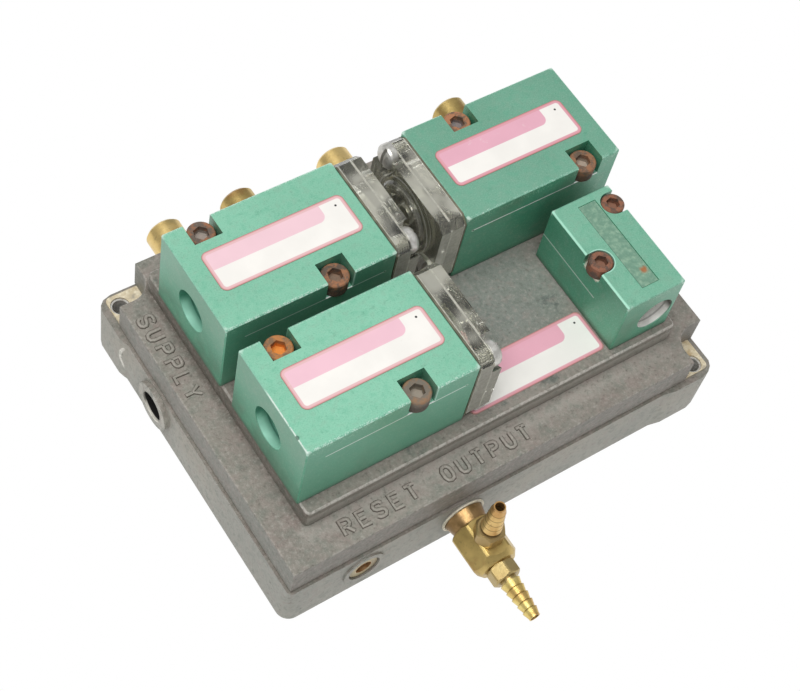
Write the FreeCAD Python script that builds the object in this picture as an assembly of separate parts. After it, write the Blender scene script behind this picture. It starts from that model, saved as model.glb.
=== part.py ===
import FreeCAD, Part
import math
import os

V = FreeCAD.Vector
os.makedirs("parts", exist_ok=True)

# Driving sizes, in millimetres. x runs along the front edge, y to the back, z up.
BASE_L = 147.0
BASE_W = 104.7
LOWER_H = 18.7
FLANGE_Z = 15.4
GASKET_T = 0.6
GASKET_IN = 1.15
UPPER_L = 147.4
UPPER_W = 104.8
UPPER_X = 0.8
UPPER_Y = 0.8
UPPER_TOP = 29.6
BED_X0 = 10.45
BED_X1 = 135.7
BED_Y0 = 11.25
BED_Y1 = 97.0
BED_TOP = 36.9
NOTCH = 10.8
NOTCH_R = 6.5
UPPER_Z0 = LOWER_H + GASKET_T

# Clearances.
RUNNING_GAP = 0.05
SEAT_GAP = 0.05
LOOSE_GAP = 0.3
SCREW_GAP = 0.1

# Socket head screws, number 10 and number 8, and the pan head screws, number 8.
SCREW_R = 2.4
SCREW_HEAD_R = 3.95
SCREW_HEAD_H = 4.8
KEY_R = 2.25
SCREW_HOLE_R = SCREW_R + SCREW_GAP
SMALL_R = 2.08
SMALL_HEAD_R = 3.43
SMALL_HEAD_H = 4.2
SMALL_KEY_R = 2.05
PAN_R = 2.0
PAN_HEAD_R = 3.9
PAN_HEAD_H = 3.5

# Valve body, in its own frame: x from the plain end to the pilot end.
VL = 53.15
VW = 34.0
VH = 28.5
EDGE = 0.35
AXIS_Y = 17.0
AXIS_Z = 14.6
END_BORE_R = 6.25
END_BORE_L = 6.0
POCKET_FLOOR = VH - 7.1
POCKET_HALF = 4.25
POCKET_DEPTH = 7.0
POCKET_IN = 3.0
POCKET_A_X = 10.55
POCKET_B_X = 35.4
SPRING_X0 = 9.0
SPRING_X1 = 19.0
SPRING_BORE_R = 5.0
SPRING_R = 3.4
SPRING_WIRE = 0.4
SLEEVE_R = 7.0
RECESS_R = 9.0
RECESS_X = 49.65
BORE_R = 4.5
LAND_R = BORE_R - RUNNING_GAP
TRAVEL = 2.0
PORT_X = (26.0, 33.2, 40.4)
SEAL_X = (21.1, 29.6, 36.8, 44.0)
PILOT_X = 47.0
PILOT_Y = 23.5
PILOT_Z = 4.2
DIAPHRAGM_T = 0.6
PLATE_T = 4.4
CAP_T = 4.0
END_LIFT = 0.45
FILM = 0.03
CHAMBER_R = 12.0
PLATE_X = VL + DIAPHRAGM_T
CAP_X = PLATE_X + PLATE_T
CAP_SCREWS = ((3.8, 25.2), (30.2, 4.1))

# Where the three valves stand: corner of the green body, and turned or not.
VALVES = (("valve1", 9.6, 15.3, False), ("valve2", 9.75, 55.55, False), ("valve3", 139.35, 89.55, True))

# Small module.
MX0 = 112.8
MX1 = 133.2
MY0 = 13.4
MY1 = 50.5
MTOP = BED_TOP + 21.9
M_AXIS_X = MX0 + 13.2
M_AXIS_Z = BED_TOP + 9.9
M_PORT_R = 6.0
M_PORT_Y1 = MY0 + 5.0
M_BORE_R = 5.7
M_BORE_Y1 = MY0 + 26.0
M_SCREW_IN = 2.65
M_SCREWS = ((MX0 + M_SCREW_IN, MY0 + 16.5), (MX1 - M_SCREW_IN, MY0 + 31.1))
M_FLOOR = MTOP - SMALL_HEAD_H
M_POCKET_R = 3.75
FIELD_X0 = MX0 + 7.6
FIELD_X1 = FIELD_X0 + 6.1
FIELD_Y0 = MY0 + 3.8
FIELD_Y1 = MY1 - 2.6

# Ports in the base.
PORT_Z = 10.8
SUPPLY_Y = 71.5
SUPPLY_R = 4.7
RESET_X = 24.6
OUTPUT_X = 57.8
REAR_X = (30.9, 56.3, 91.1, 135.5)
REAR_R = 5.8
REAR_SEAT_R = 4.85
CORNER_IN = 4.2
CORNERS = ((BASE_L - CORNER_IN, CORNER_IN), (CORNER_IN, BASE_W - CORNER_IN))
CORNER_R = 2.3
RIGHT_PAD = 1.5
LEFT_PAD = 1.0
END_PAD = 0.8

# Printed label on the bed.
LABEL_X0 = 66.0
LABEL_X1 = MX0 - 0.4
LABEL_Y0 = 14.7
LABEL_Y1 = 28.8
LABEL_T = 0.15
CASE_SCREWS = ((41.0, 6.0), (84.0, 6.0), (122.0, 6.0), (43.5, 98.7), (73.5, 98.7), (113.0, 98.7),
               (6.0, 40.0), (141.0, 52.0))

# The stored origin is the centre of the underside.
SHIFT = V(-BASE_L / 2.0, -BASE_W / 2.0, 0.0)


def box(x0, y0, z0, x1, y1, z1):
    return Part.makeBox(x1 - x0, y1 - y0, z1 - z0, V(x0, y0, z0))


def cyl(r, a, b):
    a = V(*a)
    b = V(*b)
    d = b - a
    return Part.makeCylinder(r, d.Length, a, d)


def prism(points, z0, z1):
    ring = [V(x, y, z0) for x, y in points]
    wire = Part.makePolygon(ring + [ring[0]])
    return Part.Face(wire).extrude(V(0, 0, z1 - z0))


def rounded(x0, y0, x1, y1, r, z0, z1):
    solid = box(x0, y0, z0, x1, y1, z1)
    edges = [e for e in solid.Edges if abs(e.tangentAt(e.FirstParameter).z) > 0.9]
    return solid.makeFillet(r, edges)


def turned(profile, origin, axis, side):
    # profile is a list of (along, radius), closed along the axis by the end points.
    origin = V(*origin)
    axis = V(*axis)
    side = V(*side)
    pts = [origin + axis * a + side * r for a, r in profile]
    wire = Part.makePolygon(pts + [pts[0]])
    return Part.Face(wire).revolve(origin, axis, 360)


def fused(shapes):
    out = shapes[0]
    if len(shapes) > 1:
        out = out.multiFuse(shapes[1:])
    return out.removeSplitter()


def cut(solid, tools):
    out = solid
    for tool in tools:
        out = out.cut(tool)
    return out.removeSplitter()


def save(name, shape, bodies=1):
    shape = shape.copy()
    shape.translate(SHIFT)
    if len(shape.Solids) != bodies or not shape.isValid():
        print("CHECK", name, len(shape.Solids), shape.isValid())
    if len(shape.Solids) == 1:
        shape = shape.Solids[0]
    shape.exportStep("parts/" + name + ".step")
    print(name, round(shape.Volume, 2))


def hexagon(r, origin, axis, side, a0, a1):
    # Six sided bar along the axis, with one corner towards the side.
    origin = V(*origin)
    axis = V(*axis)
    side = V(*side)
    across = axis.cross(side)
    ring = []
    for i in range(6):
        a = math.radians(60 * i)
        ring.append(origin + axis * a0 + side * (r * math.cos(a)) + across * (r * math.sin(a)))
    return Part.Face(Part.makePolygon(ring + [ring[0]])).extrude(axis * (a1 - a0))


def eased(solid, size):
    # Small flats on every outer edge.
    return solid.makeChamfer(size, solid.Edges)


def socket_screw(x, y, z_seat, z_tip, r, head_r, head_h, key_r):
    # Cap screw standing on z_seat, with its tip at z_tip.
    top = z_seat + head_h
    screw = turned([(z_tip, 0), (z_tip, r - 0.4), (z_tip + 0.4, r), (z_seat, r), (z_seat, head_r), (top - 0.35, head_r),
                    (top, head_r - 0.35), (top, 0)], (x, y, 0), (0, 0, 1), (1, 0, 0))
    corner = (math.cos(math.radians(15)), math.sin(math.radians(15)), 0)
    return screw.cut(hexagon(key_r, (x, y, 0), (0, 0, 1), corner, z_seat + 0.44 * head_h, top + 1))


def corner_pad(x, y, sx, sy, out_x, out_y):
    # Swelling of the wall round a mounting hole, on both sides of a corner.
    points = ((18, 3), (18, 0), (14, -out_y), (3.6, -out_y), (1.0, -0.1), (-0.4 * out_x, 1.2), (-out_x, 3.0),
              (-out_x, 13.5), (-0.4 * out_x, 15.6), (0, 16.5), (3, 16.5), (3, 3))
    return prism([(x + sx * u, y + sy * v) for u, v in points], 0, LOWER_H)


# Lower casting.
body = rounded(0, 0, BASE_L, BASE_W, 4.0, 0, FLANGE_Z)
flange = rounded(0, 0, BASE_L, BASE_W, 1.6, FLANGE_Z, LOWER_H)
rear_pad = corner_pad(0, BASE_W, 1, -1, LEFT_PAD, END_PAD)
front_pad = corner_pad(BASE_L, 0, -1, 1, RIGHT_PAD, END_PAD)
supply_rim = cyl(7.6, (-1.5, SUPPLY_Y, PORT_Z), (4, SUPPLY_Y, PORT_Z))
reset_rim = cyl(6.6, (RESET_X, -0.6, PORT_Z), (RESET_X, 3, PORT_Z))
output_rim = cyl(7.0, (OUTPUT_X, -0.8, PORT_Z), (OUTPUT_X, 3, PORT_Z))
lower = fused([body, flange, rear_pad, front_pad, supply_rim, reset_rim, output_rim])
tools = [cyl(SUPPLY_R, (-3, SUPPLY_Y, PORT_Z), (13, SUPPLY_Y, PORT_Z)),
         cyl(2.6, (12, SUPPLY_Y, 9.0), (116, SUPPLY_Y, 9.0)),
         cyl(4.95 + SEAT_GAP, (RESET_X, -3, PORT_Z), (RESET_X, 9, PORT_Z)),
         cyl(1.5, (RESET_X, 8, 10.5), (RESET_X, 38.8, 10.5)),
         cyl(1.5, (RESET_X, 38.8, 10.5), (56.6, 38.8, 10.5)),
         cyl(1.3, (56.6, 38.8, 10.5), (56.6, 38.8, LOWER_H + 1)),
         cyl(6.25, (OUTPUT_X, -3, PORT_Z), (OUTPUT_X, 0.6, PORT_Z)),
         cyl(4.3 + SEAT_GAP, (OUTPUT_X, -3, PORT_Z), (OUTPUT_X, 9, PORT_Z))]
for x in REAR_X:
    tools.append(cyl(REAR_SEAT_R + SEAT_GAP, (x, BASE_W - 8, 10.5), (x, BASE_W + 2, 10.5)))
# Galleries, open to the gasket.
GZ = 14.2
for x0, y0, x1, y1 in ((15, 30.3, 19, 73.5), (15, 30.3, 37.6, 34.3), (48, 30.3, 59.8, 34.3), (55.8, 7.5, 59.8, 34.3),
                       (59.8, 28.3, M_AXIS_X + 2, 32.3), (28.9, 80, 32.9, 98), (28.9, 80, 44.9, 84), (40.9, 70.5, 44.9, 84),
                       (48.15, 60, 52.15, 74.5), (54.3, 77, 58.3, 98), (104.15, 70.5, 108.15, 84),
                       (104.15, 80, 137.5, 84), (133.5, 80, 137.5, 98), (96.95, 60, 100.95, 74.5),
                       (89.1, 64, 93.1, 98), (M_AXIS_X - 2, 38, M_AXIS_X + 2, 84)):
    tools.append(box(x0, y0, GZ, x1, y1, LOWER_H + 1))
for x, y in ((17, SUPPLY_Y), (35.75, SUPPLY_Y), (113.35, SUPPLY_Y)):
    tools.append(cyl(1.7, (x, y, 9.0), (x, y, LOWER_H + 1)))
for x, y in ((42.8, 32.3), (50.15, 62), (98.95, 62)):
    tools.append(cyl(1.7, (x, y, -1), (x, y, LOWER_H + 1)))
for x, y in CORNERS:
    tools.append(cyl(CORNER_R, (x, y, -1), (x, y, LOWER_H + 1)))
for x, y in CASE_SCREWS:
    tools.append(cyl(SCREW_HOLE_R, (x, y, -1), (x, y, LOWER_H + 1)))
    tools.append(cyl(SCREW_HEAD_R + 0.25, (x, y, -1), (x, y, SCREW_HEAD_H + 0.4)))
lower = cut(lower, tools)
save("lower_casting", lower)

# Where air passes up through the gasket into the valves.
RISERS = []
for name, vx, vy, flip in VALVES:
    sx = -1 if flip else 1
    for px in PORT_X:
        RISERS.append((vx + sx * px, vy + sx * AXIS_Y, 1.7))
    RISERS.append((vx + sx * PILOT_X, vy + sx * PILOT_Y, 1.1))
RISERS.append((M_AXIS_X, 30.0, 1.7))
RISERS.append((M_AXIS_X, 40.2, 1.3))

# Gasket between the castings.
gasket = rounded(GASKET_IN, GASKET_IN, BASE_L - 0.2, BASE_W - 0.2, 1.6, LOWER_H, UPPER_Z0)
tools = []
for x, y in CORNERS:
    tools.append(cyl(CORNER_R + 0.6, (x, y, LOWER_H - 1), (x, y, UPPER_Z0 + 1)))
for x, y in CASE_SCREWS:
    tools.append(cyl(SCREW_HOLE_R + 0.1, (x, y, LOWER_H - 1), (x, y, UPPER_Z0 + 1)))
for x, y, r in RISERS:
    tools.append(cyl(r, (x, y, LOWER_H - 1), (x, y, UPPER_Z0 + 1)))
save("casting_gasket", cut(gasket, tools))

# Upper casting.
ux1 = UPPER_X + UPPER_L
uy1 = UPPER_Y + UPPER_W
upper = box(UPPER_X, UPPER_Y, UPPER_Z0, ux1, uy1, UPPER_TOP)
for cx, cy, sx, sy in ((ux1, UPPER_Y, -1, 1), (UPPER_X, uy1, 1, -1)):
    xs = sorted((cx - sx * 8.0, cx + sx * NOTCH))
    ys = sorted((cy - sy * 8.0, cy + sy * NOTCH))
    upper = upper.cut(rounded(xs[0], ys[0], xs[1], ys[1], NOTCH_R, UPPER_Z0 - 1, UPPER_TOP + 1))
rim = [e for e in upper.Edges if all(abs(v.Z - UPPER_TOP) < 1e-6 for v in e.Vertexes)]
upper = upper.makeFillet(0.5, rim)
bed = rounded(BED_X0, BED_Y0, BED_X1, BED_Y1, 1.5, UPPER_TOP - 1, BED_TOP)
rim = [e for e in bed.Edges if all(abs(v.Z - BED_TOP) < 1e-6 for v in e.Vertexes)]
bed = bed.makeChamfer(0.5, rim)
upper = fused([upper, bed])
tools = []
for x, y, r in RISERS:
    tools.append(cyl(r, (x, y, UPPER_Z0 - 1), (x, y, BED_TOP + 1)))
for x, y in CASE_SCREWS:
    tools.append(cyl(SCREW_R + SEAT_GAP, (x, y, UPPER_Z0 - 1), (x, y, UPPER_Z0 + 7.8)))
BODY_SCREWS = []
for name, vx, vy, flip in VALVES:
    sx = -1 if flip else 1
    BODY_SCREWS.append((vx + sx * POCKET_A_X, vy + sx * (VW - POCKET_IN)))
    BODY_SCREWS.append((vx + sx * POCKET_B_X, vy + sx * POCKET_IN))
for x, y in BODY_SCREWS:
    tools.append(cyl(SCREW_R + SEAT_GAP, (x, y, 26.0), (x, y, BED_TOP + 1)))
for x, y in M_SCREWS:
    tools.append(cyl(SMALL_R + SEAT_GAP, (x, y, 26.0), (x, y, BED_TOP + 1)))
save("upper_casting", cut(upper, tools))

# Screws that hold the castings together, put in from below.
screws = []
for x, y in CASE_SCREWS:
    screw = socket_screw(0, 0, 0, -(UPPER_Z0 + 7.0 - SCREW_HEAD_H), SCREW_R, SCREW_HEAD_R, SCREW_HEAD_H, KEY_R)
    screw.rotate(V(0, 0, 0), V(1, 0, 0), 180)
    screw.translate(V(x, y, SCREW_HEAD_H + 0.4))
    screws.append(screw)
save("casting_screws", Part.makeCompound(screws), len(screws))

# Bed label, a thin printed plate beside the small module.
label = rounded(LABEL_X0, LABEL_Y0, LABEL_X1, LABEL_Y1, 1.5, BED_TOP, BED_TOP + LABEL_T)
save("bed_label", label)


def placed(shape, x, y, flip):
    out = shape.copy()
    if flip:
        out.rotate(V(0, 0, 0), V(0, 0, 1), 180)
    out.translate(V(x, y, BED_TOP))
    return out


def section(x0, x1, c):
    # Valve end section, with cut corners, from x0 to x1. Its underside stays clear of the bed.
    z0 = END_LIFT
    pts = ((c, z0), (VW - c, z0), (VW, z0 + c), (VW, VH - c), (VW - c, VH), (c, VH), (0, VH - c), (0, z0 + c))
    ring = [V(x0, y, z) for y, z in pts]
    wire = Part.makePolygon(ring + [ring[0]])
    return Part.Face(wire).extrude(V(x1 - x0, 0, 0))


def axial(r, x0, x1):
    return cyl(r, (x0, AXIS_Y, AXIS_Z), (x1, AXIS_Y, AXIS_Z))


def on_axis(profile):
    return turned(profile, (0, AXIS_Y, AXIS_Z), (1, 0, 0), (0, 0, 1))


def band(x0, x1, r0, r1):
    return on_axis([(x0, r0), (x1, r0), (x1, r1), (x0, r1)])


def pocket(x, side_y, inward):
    # Square counterbore for a screw head, open at the side face.
    ys = sorted((side_y - inward * 2, side_y + inward * POCKET_DEPTH))
    return box(x - POCKET_HALF, ys[0], POCKET_FLOOR, x + POCKET_HALF, ys[1], VH + 1)


# Valve body.
vbody = eased(box(0, 0, 0, VL, VW, VH), EDGE)
tools = [axial(END_BORE_R, -1, END_BORE_L), axial(1.0, END_BORE_L - 1, SPRING_X0 + 1),
         axial(SPRING_BORE_R, SPRING_X0, SPRING_X1 + 1), axial(SLEEVE_R, SPRING_X1, VL + 1),
         axial(RECESS_R, RECESS_X, VL + 1),
         pocket(POCKET_A_X, VW, -1), pocket(POCKET_B_X, 0, 1),
         cyl(SCREW_HOLE_R, (POCKET_A_X, VW - POCKET_IN, -1), (POCKET_A_X, VW - POCKET_IN, VH)),
         cyl(SCREW_HOLE_R, (POCKET_B_X, POCKET_IN, -1), (POCKET_B_X, POCKET_IN, VH)),
         box(17, 9, -1, 50, 26, 0.5),
         cyl(1.1, (PILOT_X, PILOT_Y, -1), (PILOT_X, PILOT_Y, PILOT_Z)),
         cyl(1.1, (PILOT_X, PILOT_Y, PILOT_Z), (VL + 1, PILOT_Y, PILOT_Z))]
for px in PORT_X:
    tools.append(cyl(1.7, (px, AXIS_Y, -1), (px, AXIS_Y, AXIS_Z - 5)))
for cy, cz in CAP_SCREWS:
    tools.append(cyl(PAN_R + SEAT_GAP, (VL - 8, cy, cz), (VL + 1, cy, cz)))
vbody = cut(vbody, tools)

# Port gasket in its recess under the body.
vgasket = box(17.2, 9.2, 0, 49.8, 25.8, 0.5)
tools = [cyl(1.7, (px, AXIS_Y, -1), (px, AXIS_Y, 1)) for px in PORT_X]
tools.append(cyl(1.1, (PILOT_X, PILOT_Y, -1), (PILOT_X, PILOT_Y, 1)))
vgasket = cut(vgasket, tools)

# Sleeve with outer grooves and cross ports.
so = SLEEVE_R - SEAT_GAP
profile = [(SPRING_X1 + 0.05, BORE_R), (SPRING_X1 + 0.05, so)]
cuts = sorted([(x, x + 1.6, 5.8) for x in SEAL_X] + [(x - 1.6, x + 1.6, 6.2) for x in PORT_X])
for x0, x1, r in cuts:
    profile += [(x0, so), (x0, r), (x1, r), (x1, so)]
profile += [(RECESS_X - 0.05, so), (RECESS_X - 0.05, BORE_R)]
sleeve = on_axis(profile)
tools = []
for px in PORT_X:
    tools.append(cyl(1.3, (px, AXIS_Y, AXIS_Z - 8), (px, AXIS_Y, AXIS_Z + 8)))
sleeve = cut(sleeve, tools)
sleeve_seals = [band(x + 0.1, x + 1.5, 5.85, SLEEVE_R - SEAT_GAP) for x in SEAL_X]

# Spool, with its piston, stem and indicator button.
lands = ((SPRING_X1, 24.4), (27.6, 31.6), (34.8, 38.8), (42.0, 48.0))
profile = [(15.0, 0), (15.0, 2.5), (SPRING_X1, 2.5)]
for i, (x0, x1) in enumerate(lands):
    gx = SEAL_X[i]
    if i:
        profile += [(x0, 2.9)]
    profile += [(x0, LAND_R), (gx, LAND_R), (gx, 3.0), (gx + 1.6, 3.0), (gx + 1.6, LAND_R), (x1, LAND_R)]
    if i < 3:
        profile += [(x1, 2.9)]
PISTON_X1 = VL - 0.05
profile += [(48.0, 3.0), (PISTON_X1 - 1.4, 3.0), (PISTON_X1 - 1.4, 8.0), (PISTON_X1, 8.0), (PISTON_X1, 1.5),
            (59.7, 1.5), (59.7, 2.8), (60.6, 2.8), (60.6, 0)]
spool = on_axis(profile)
spool_seals = [band(x + 0.1, x + 1.5, 3.05, BORE_R - 0.02) for x in SEAL_X]


def spring_between(x0, x1, turns):
    # Round wire spring, with its coils along x.
    length = x1 - x0 - 2.4 * SPRING_WIRE
    helix = Part.makeHelix(length / turns, length, SPRING_R)
    wire = Part.Wire(helix.Edges)
    ring = Part.Wire([Part.makeCircle(SPRING_WIRE, V(SPRING_R, 0, 0), V(0, 1, 0.12))])
    coil = wire.makePipeShell([ring], True, True)
    coil.rotate(V(0, 0, 0), V(0, 1, 0), 90)
    coil.translate(V(x0 + 1.2 * SPRING_WIRE, AXIS_Y, AXIS_Z))
    return coil


spring = spring_between(SPRING_X0, SPRING_X1, 5)

# Diaphragm between the body and the clear plates.
CORNER_CUT = 2.4
diaphragm = section(VL, PLATE_X, CORNER_CUT)
holes = [axial(1.8, VL - 1, PLATE_X + 1), cyl(1.1, (VL - 1, PILOT_Y, PILOT_Z), (PLATE_X + 1, PILOT_Y, PILOT_Z))]
for cy, cz in CAP_SCREWS:
    holes.append(cyl(PAN_R + SCREW_GAP, (VL - 1, cy, cz), (PLATE_X + 1, cy, cz)))
diaphragm = cut(diaphragm, holes)

# Clear pilot plate with the air chamber, and the clear cap with a domed ring.
plate = section(PLATE_X + FILM, CAP_X, CORNER_CUT)
holes = [axial(CHAMBER_R, PLATE_X - 1, PLATE_X + 2.5), axial(1.8, PLATE_X, CAP_X + 1),
         axial(3.3, PLATE_X + 3.3, CAP_X + 1),
         cyl(1.1, (PLATE_X - 1, PILOT_Y, PILOT_Z), (PLATE_X + 2.2, PILOT_Y, PILOT_Z))]
for cy, cz in CAP_SCREWS:
    holes.append(cyl(PAN_R + SCREW_GAP, (PLATE_X - 1, cy, cz), (CAP_X + 1, cy, cz)))
plate = cut(plate, holes)
face_x = CAP_X + CAP_T - 0.7
cap = section(CAP_X + FILM, face_x, CORNER_CUT)
dome = on_axis([(face_x - 1, 6.2), (face_x, 6.2), (face_x + 0.5, 7.0), (face_x + 0.7, 8.4), (face_x + 0.5, 9.8),
                (face_x, 10.6), (face_x - 1, 10.6)])
cap = fused([cap, dome])
holes = [axial(3.3, CAP_X - 1, CAP_X + 2.75)]
for cy, cz in CAP_SCREWS:
    holes.append(cyl(PAN_HEAD_R + 1.5, (CAP_X - 1, cy, cz), (CAP_X + CAP_T + 1, cy, cz)))
cap = cut(cap, holes)

# Pan head screws through the clear plate.
cap_screws = []
for cy, cz in CAP_SCREWS:
    head = turned([(0, 0), (0, PAN_HEAD_R), (1.9, PAN_HEAD_R), (2.9, 3.1), (PAN_HEAD_H, 1.6), (PAN_HEAD_H, 0)],
                  (CAP_X, cy, cz), (1, 0, 0), (0, 0, 1))
    shank = cyl(PAN_R, (VL - 7, cy, cz), (CAP_X, cy, cz))
    cap_screws.append(fused([head, shank]))

valve_label = rounded(5.5, 10.5, 49.5, 23.8, 2.0, VH, VH + LABEL_T)

for index, (name, vx, vy, flip) in enumerate(VALVES):
    for part, shape, count in (("_body", vbody, 1), ("_port_gasket", vgasket, 1), ("_sleeve", sleeve, 1),
                               ("_sleeve_seals", Part.makeCompound(sleeve_seals), 4), ("_spool", spool, 1),
                               ("_spool_seals", Part.makeCompound(spool_seals), 4), ("_spring", spring, 1),
                               ("_diaphragm", diaphragm, 1), ("_pilot_plate", plate, 1), ("_pilot_cap", cap, 1),
                               ("_cap_screws", Part.makeCompound(cap_screws), 2), ("_label", valve_label, 1)):
        save(name + part, placed(shape, vx, vy, flip), count)
    pair = [socket_screw(x, y, BED_TOP + POCKET_FLOOR, BED_TOP - 9.6, SCREW_R, SCREW_HEAD_R, SCREW_HEAD_H, KEY_R)
            for x, y in BODY_SCREWS[2 * index:2 * index + 2]]
    save(name + "_body_screws", Part.makeCompound(pair), 2)

# Small module.
mbody = eased(box(MX0, MY0, BED_TOP, MX1, MY1, MTOP), EDGE)


def along_y(r, y0, y1):
    return cyl(r, (M_AXIS_X, y0, M_AXIS_Z), (M_AXIS_X, y1, M_AXIS_Z))


tools = [along_y(M_PORT_R, MY0 - 1, M_PORT_Y1), along_y(M_BORE_R, M_PORT_Y1 - 1, M_BORE_Y1),
         along_y(4.0, M_BORE_Y1 - 1, M_BORE_Y1 + 2.6),
         cyl(1.7, (M_AXIS_X, 30, BED_TOP - 1), (M_AXIS_X, 30, M_AXIS_Z)),
         cyl(1.3, (M_AXIS_X, 40.2, BED_TOP - 1), (M_AXIS_X, 40.2, M_AXIS_Z)),
         box(M_AXIS_X - 5, 24, BED_TOP - 1, M_AXIS_X + 3.5, 42.2, BED_TOP + 0.5),
         box(FIELD_X0, FIELD_Y0, MTOP - 0.4, FIELD_X1, FIELD_Y1, MTOP + 1)]
for x, y in M_SCREWS:
    side = MX0 - 1 if x < M_AXIS_X else MX1 + 1
    slot = box(min(x, side), y - M_POCKET_R, M_FLOOR, max(x, side), y + M_POCKET_R, MTOP + 1)
    tools.append(slot.fuse(cyl(M_POCKET_R, (x, y, M_FLOOR), (x, y, MTOP + 1))).removeSplitter())
    tools.append(cyl(SMALL_R + SCREW_GAP, (x, y, BED_TOP - 1), (x, y, M_FLOOR + 1)))
save("module_body", cut(mbody, tools))
mgasket = box(M_AXIS_X - 4.8, 24.2, BED_TOP, M_AXIS_X + 3.3, 42.0, BED_TOP + 0.5)
mgasket = cut(mgasket, [cyl(1.7, (M_AXIS_X, 30, BED_TOP - 1), (M_AXIS_X, 30, BED_TOP + 1)),
                        cyl(1.3, (M_AXIS_X, 40.2, BED_TOP - 1), (M_AXIS_X, 40.2, BED_TOP + 1))])
save("module_port_gasket", mgasket)
plate = box(FIELD_X0 + 0.2, FIELD_Y0 + 0.2, MTOP - 0.4, FIELD_X1 - 0.2, FIELD_Y1 - 0.2, MTOP - 0.15)
save("module_field", plate)
mo = (M_AXIS_X, 0, M_AXIS_Z)
seat_r = M_BORE_R - SEAT_GAP
y0 = M_PORT_Y1
ring = turned([(y0, 2.0), (y0, seat_r), (y0 + 5, seat_r), (y0 + 5, 2.8), (y0 + 4.5, 2.0)], mo, (0, 1, 0), (0, 0, 1))
save("module_front_seat", ring)
y1 = M_BORE_Y1
ring = turned([(y1 - 3, 2.8), (y1 - 3, seat_r), (y1, seat_r), (y1, 2.0), (y1 - 2.5, 2.0)], mo, (0, 1, 0), (0, 0, 1))
save("module_rear_seat", ring)
guide_r = M_BORE_R - 0.08
shuttle = turned([(y0 + 8, 0), (y0 + 8, 3.6), (y0 + 10.8, 3.6), (y0 + 10.8, guide_r), (y0 + 15.2, guide_r),
                  (y0 + 15.2, 3.6), (y1 - 3.04, 3.6), (y1 - 3.04, 0)], mo, (0, 1, 0), (0, 0, 1))
flutes = [cyl(1.0, (M_AXIS_X + 5.1 * math.cos(a), y0 + 10, M_AXIS_Z + 5.1 * math.sin(a)),
              (M_AXIS_X + 5.1 * math.cos(a), y0 + 16, M_AXIS_Z + 5.1 * math.sin(a)))
          for a in (math.radians(90 * i + 45) for i in range(4))]
save("module_shuttle", cut(shuttle, flutes))
pair = [socket_screw(x, y, M_FLOOR, BED_TOP - 9.6, SMALL_R, SMALL_HEAD_R, SMALL_HEAD_H, SMALL_KEY_R)
        for x, y in M_SCREWS]
save("module_screws", Part.makeCompound(pair), 2)

# Brass reset bush, a plug with a small thread through it.
bush = turned([(-0.1, 2.5), (-0.1, 4.5), (0.3, 4.95), (8.6, 4.95), (8.6, 2.5)], (RESET_X, 0, PORT_Z), (0, 1, 0),
              (0, 0, 1))
save("reset_bush", bush)

# Brass tee at the output: threaded neck, hexagon block and two hose barbs.
HEX_AF = 12.7
BLOCK_Y0 = -18.5
BLOCK_Y1 = -5.0
BRANCH_Y = -10.9
STUB_R = 2.4
BARB_BORE_R = 1.35
flow = (OUTPUT_X, 0, PORT_Z)
block = hexagon(HEX_AF / math.sqrt(3), flow, (0, 1, 0), (1, 0, 0), BLOCK_Y0, BLOCK_Y1)
rounding = turned([(BLOCK_Y0, 0), (BLOCK_Y0, 5.4), (BLOCK_Y0 + 2.2, 7.1), (BLOCK_Y1 - 0.7, 7.1), (BLOCK_Y1, 6.5),
                   (BLOCK_Y1, 0)], flow, (0, 1, 0), (0, 0, 1))
block = block.common(rounding)
neck = turned([(BLOCK_Y1 - 1, 0), (BLOCK_Y1 - 1, 5.4), (BLOCK_Y1 + 0.6, 5.4), (-1.0, 6.1), (0.55, 6.1), (0.55, 4.3),
               (8.4, 4.3), (8.4, 0)], flow, (0, 1, 0), (0, 0, 1))
tee = fused([block, neck])
flat = PORT_Z + HEX_AF / 2.0
tools = [cyl(1.5, (OUTPUT_X, BLOCK_Y0 - 1, PORT_Z), (OUTPUT_X, 10, PORT_Z)),
         cyl(STUB_R + SEAT_GAP, (OUTPUT_X, BLOCK_Y0 - 1, PORT_Z), (OUTPUT_X, BLOCK_Y0 + 4.0, PORT_Z)),
         cyl(1.5, (OUTPUT_X, BRANCH_Y, PORT_Z), (OUTPUT_X, BRANCH_Y, PORT_Z + 8)),
         cyl(STUB_R + SEAT_GAP, (OUTPUT_X, BRANCH_Y, flat - 3.6), (OUTPUT_X, BRANCH_Y, flat + 1))]
save("tee_body", cut(tee, tools))


def barb(origin, axis, side):
    # Threaded stub, hexagon collar and five ridges that get smaller to the tip. The collar's seat is at zero.
    profile = [(-3.0, 0), (-3.0, STUB_R), (0.1, STUB_R), (0.1, 3.0), (4.6, 3.0), (4.6, 2.5)]
    for i in range(5):
        x = 5.6 + 2.35 * i
        r = 3.1 - 0.2 * i
        profile += [(x, r - 0.6), (x, r), (x + 2.0, r - 0.6)]
    profile += [(17.5, 1.7), (17.5, 0)]
    collar = hexagon(8.0 / math.sqrt(3), origin, axis, side, 0, 4.6)
    collar = collar.common(turned([(0, 0), (0, 4.0), (0.45, 4.45), (4.0, 4.45), (4.6, 3.7), (4.6, 0)], origin, axis, side))
    solid = fused([turned(profile, origin, axis, side), collar])
    along = V(*axis)
    return solid.cut(Part.makeCylinder(BARB_BORE_R, 23, V(*origin) - along * 4, along))


save("tee_barb_run", barb((OUTPUT_X, BLOCK_Y0, PORT_Z), (0, -1, 0), (0, 0, 1)))
save("tee_barb_branch", barb((OUTPUT_X, BRANCH_Y, flat), (0, 0, 1), (1, 0, 0)))

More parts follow.
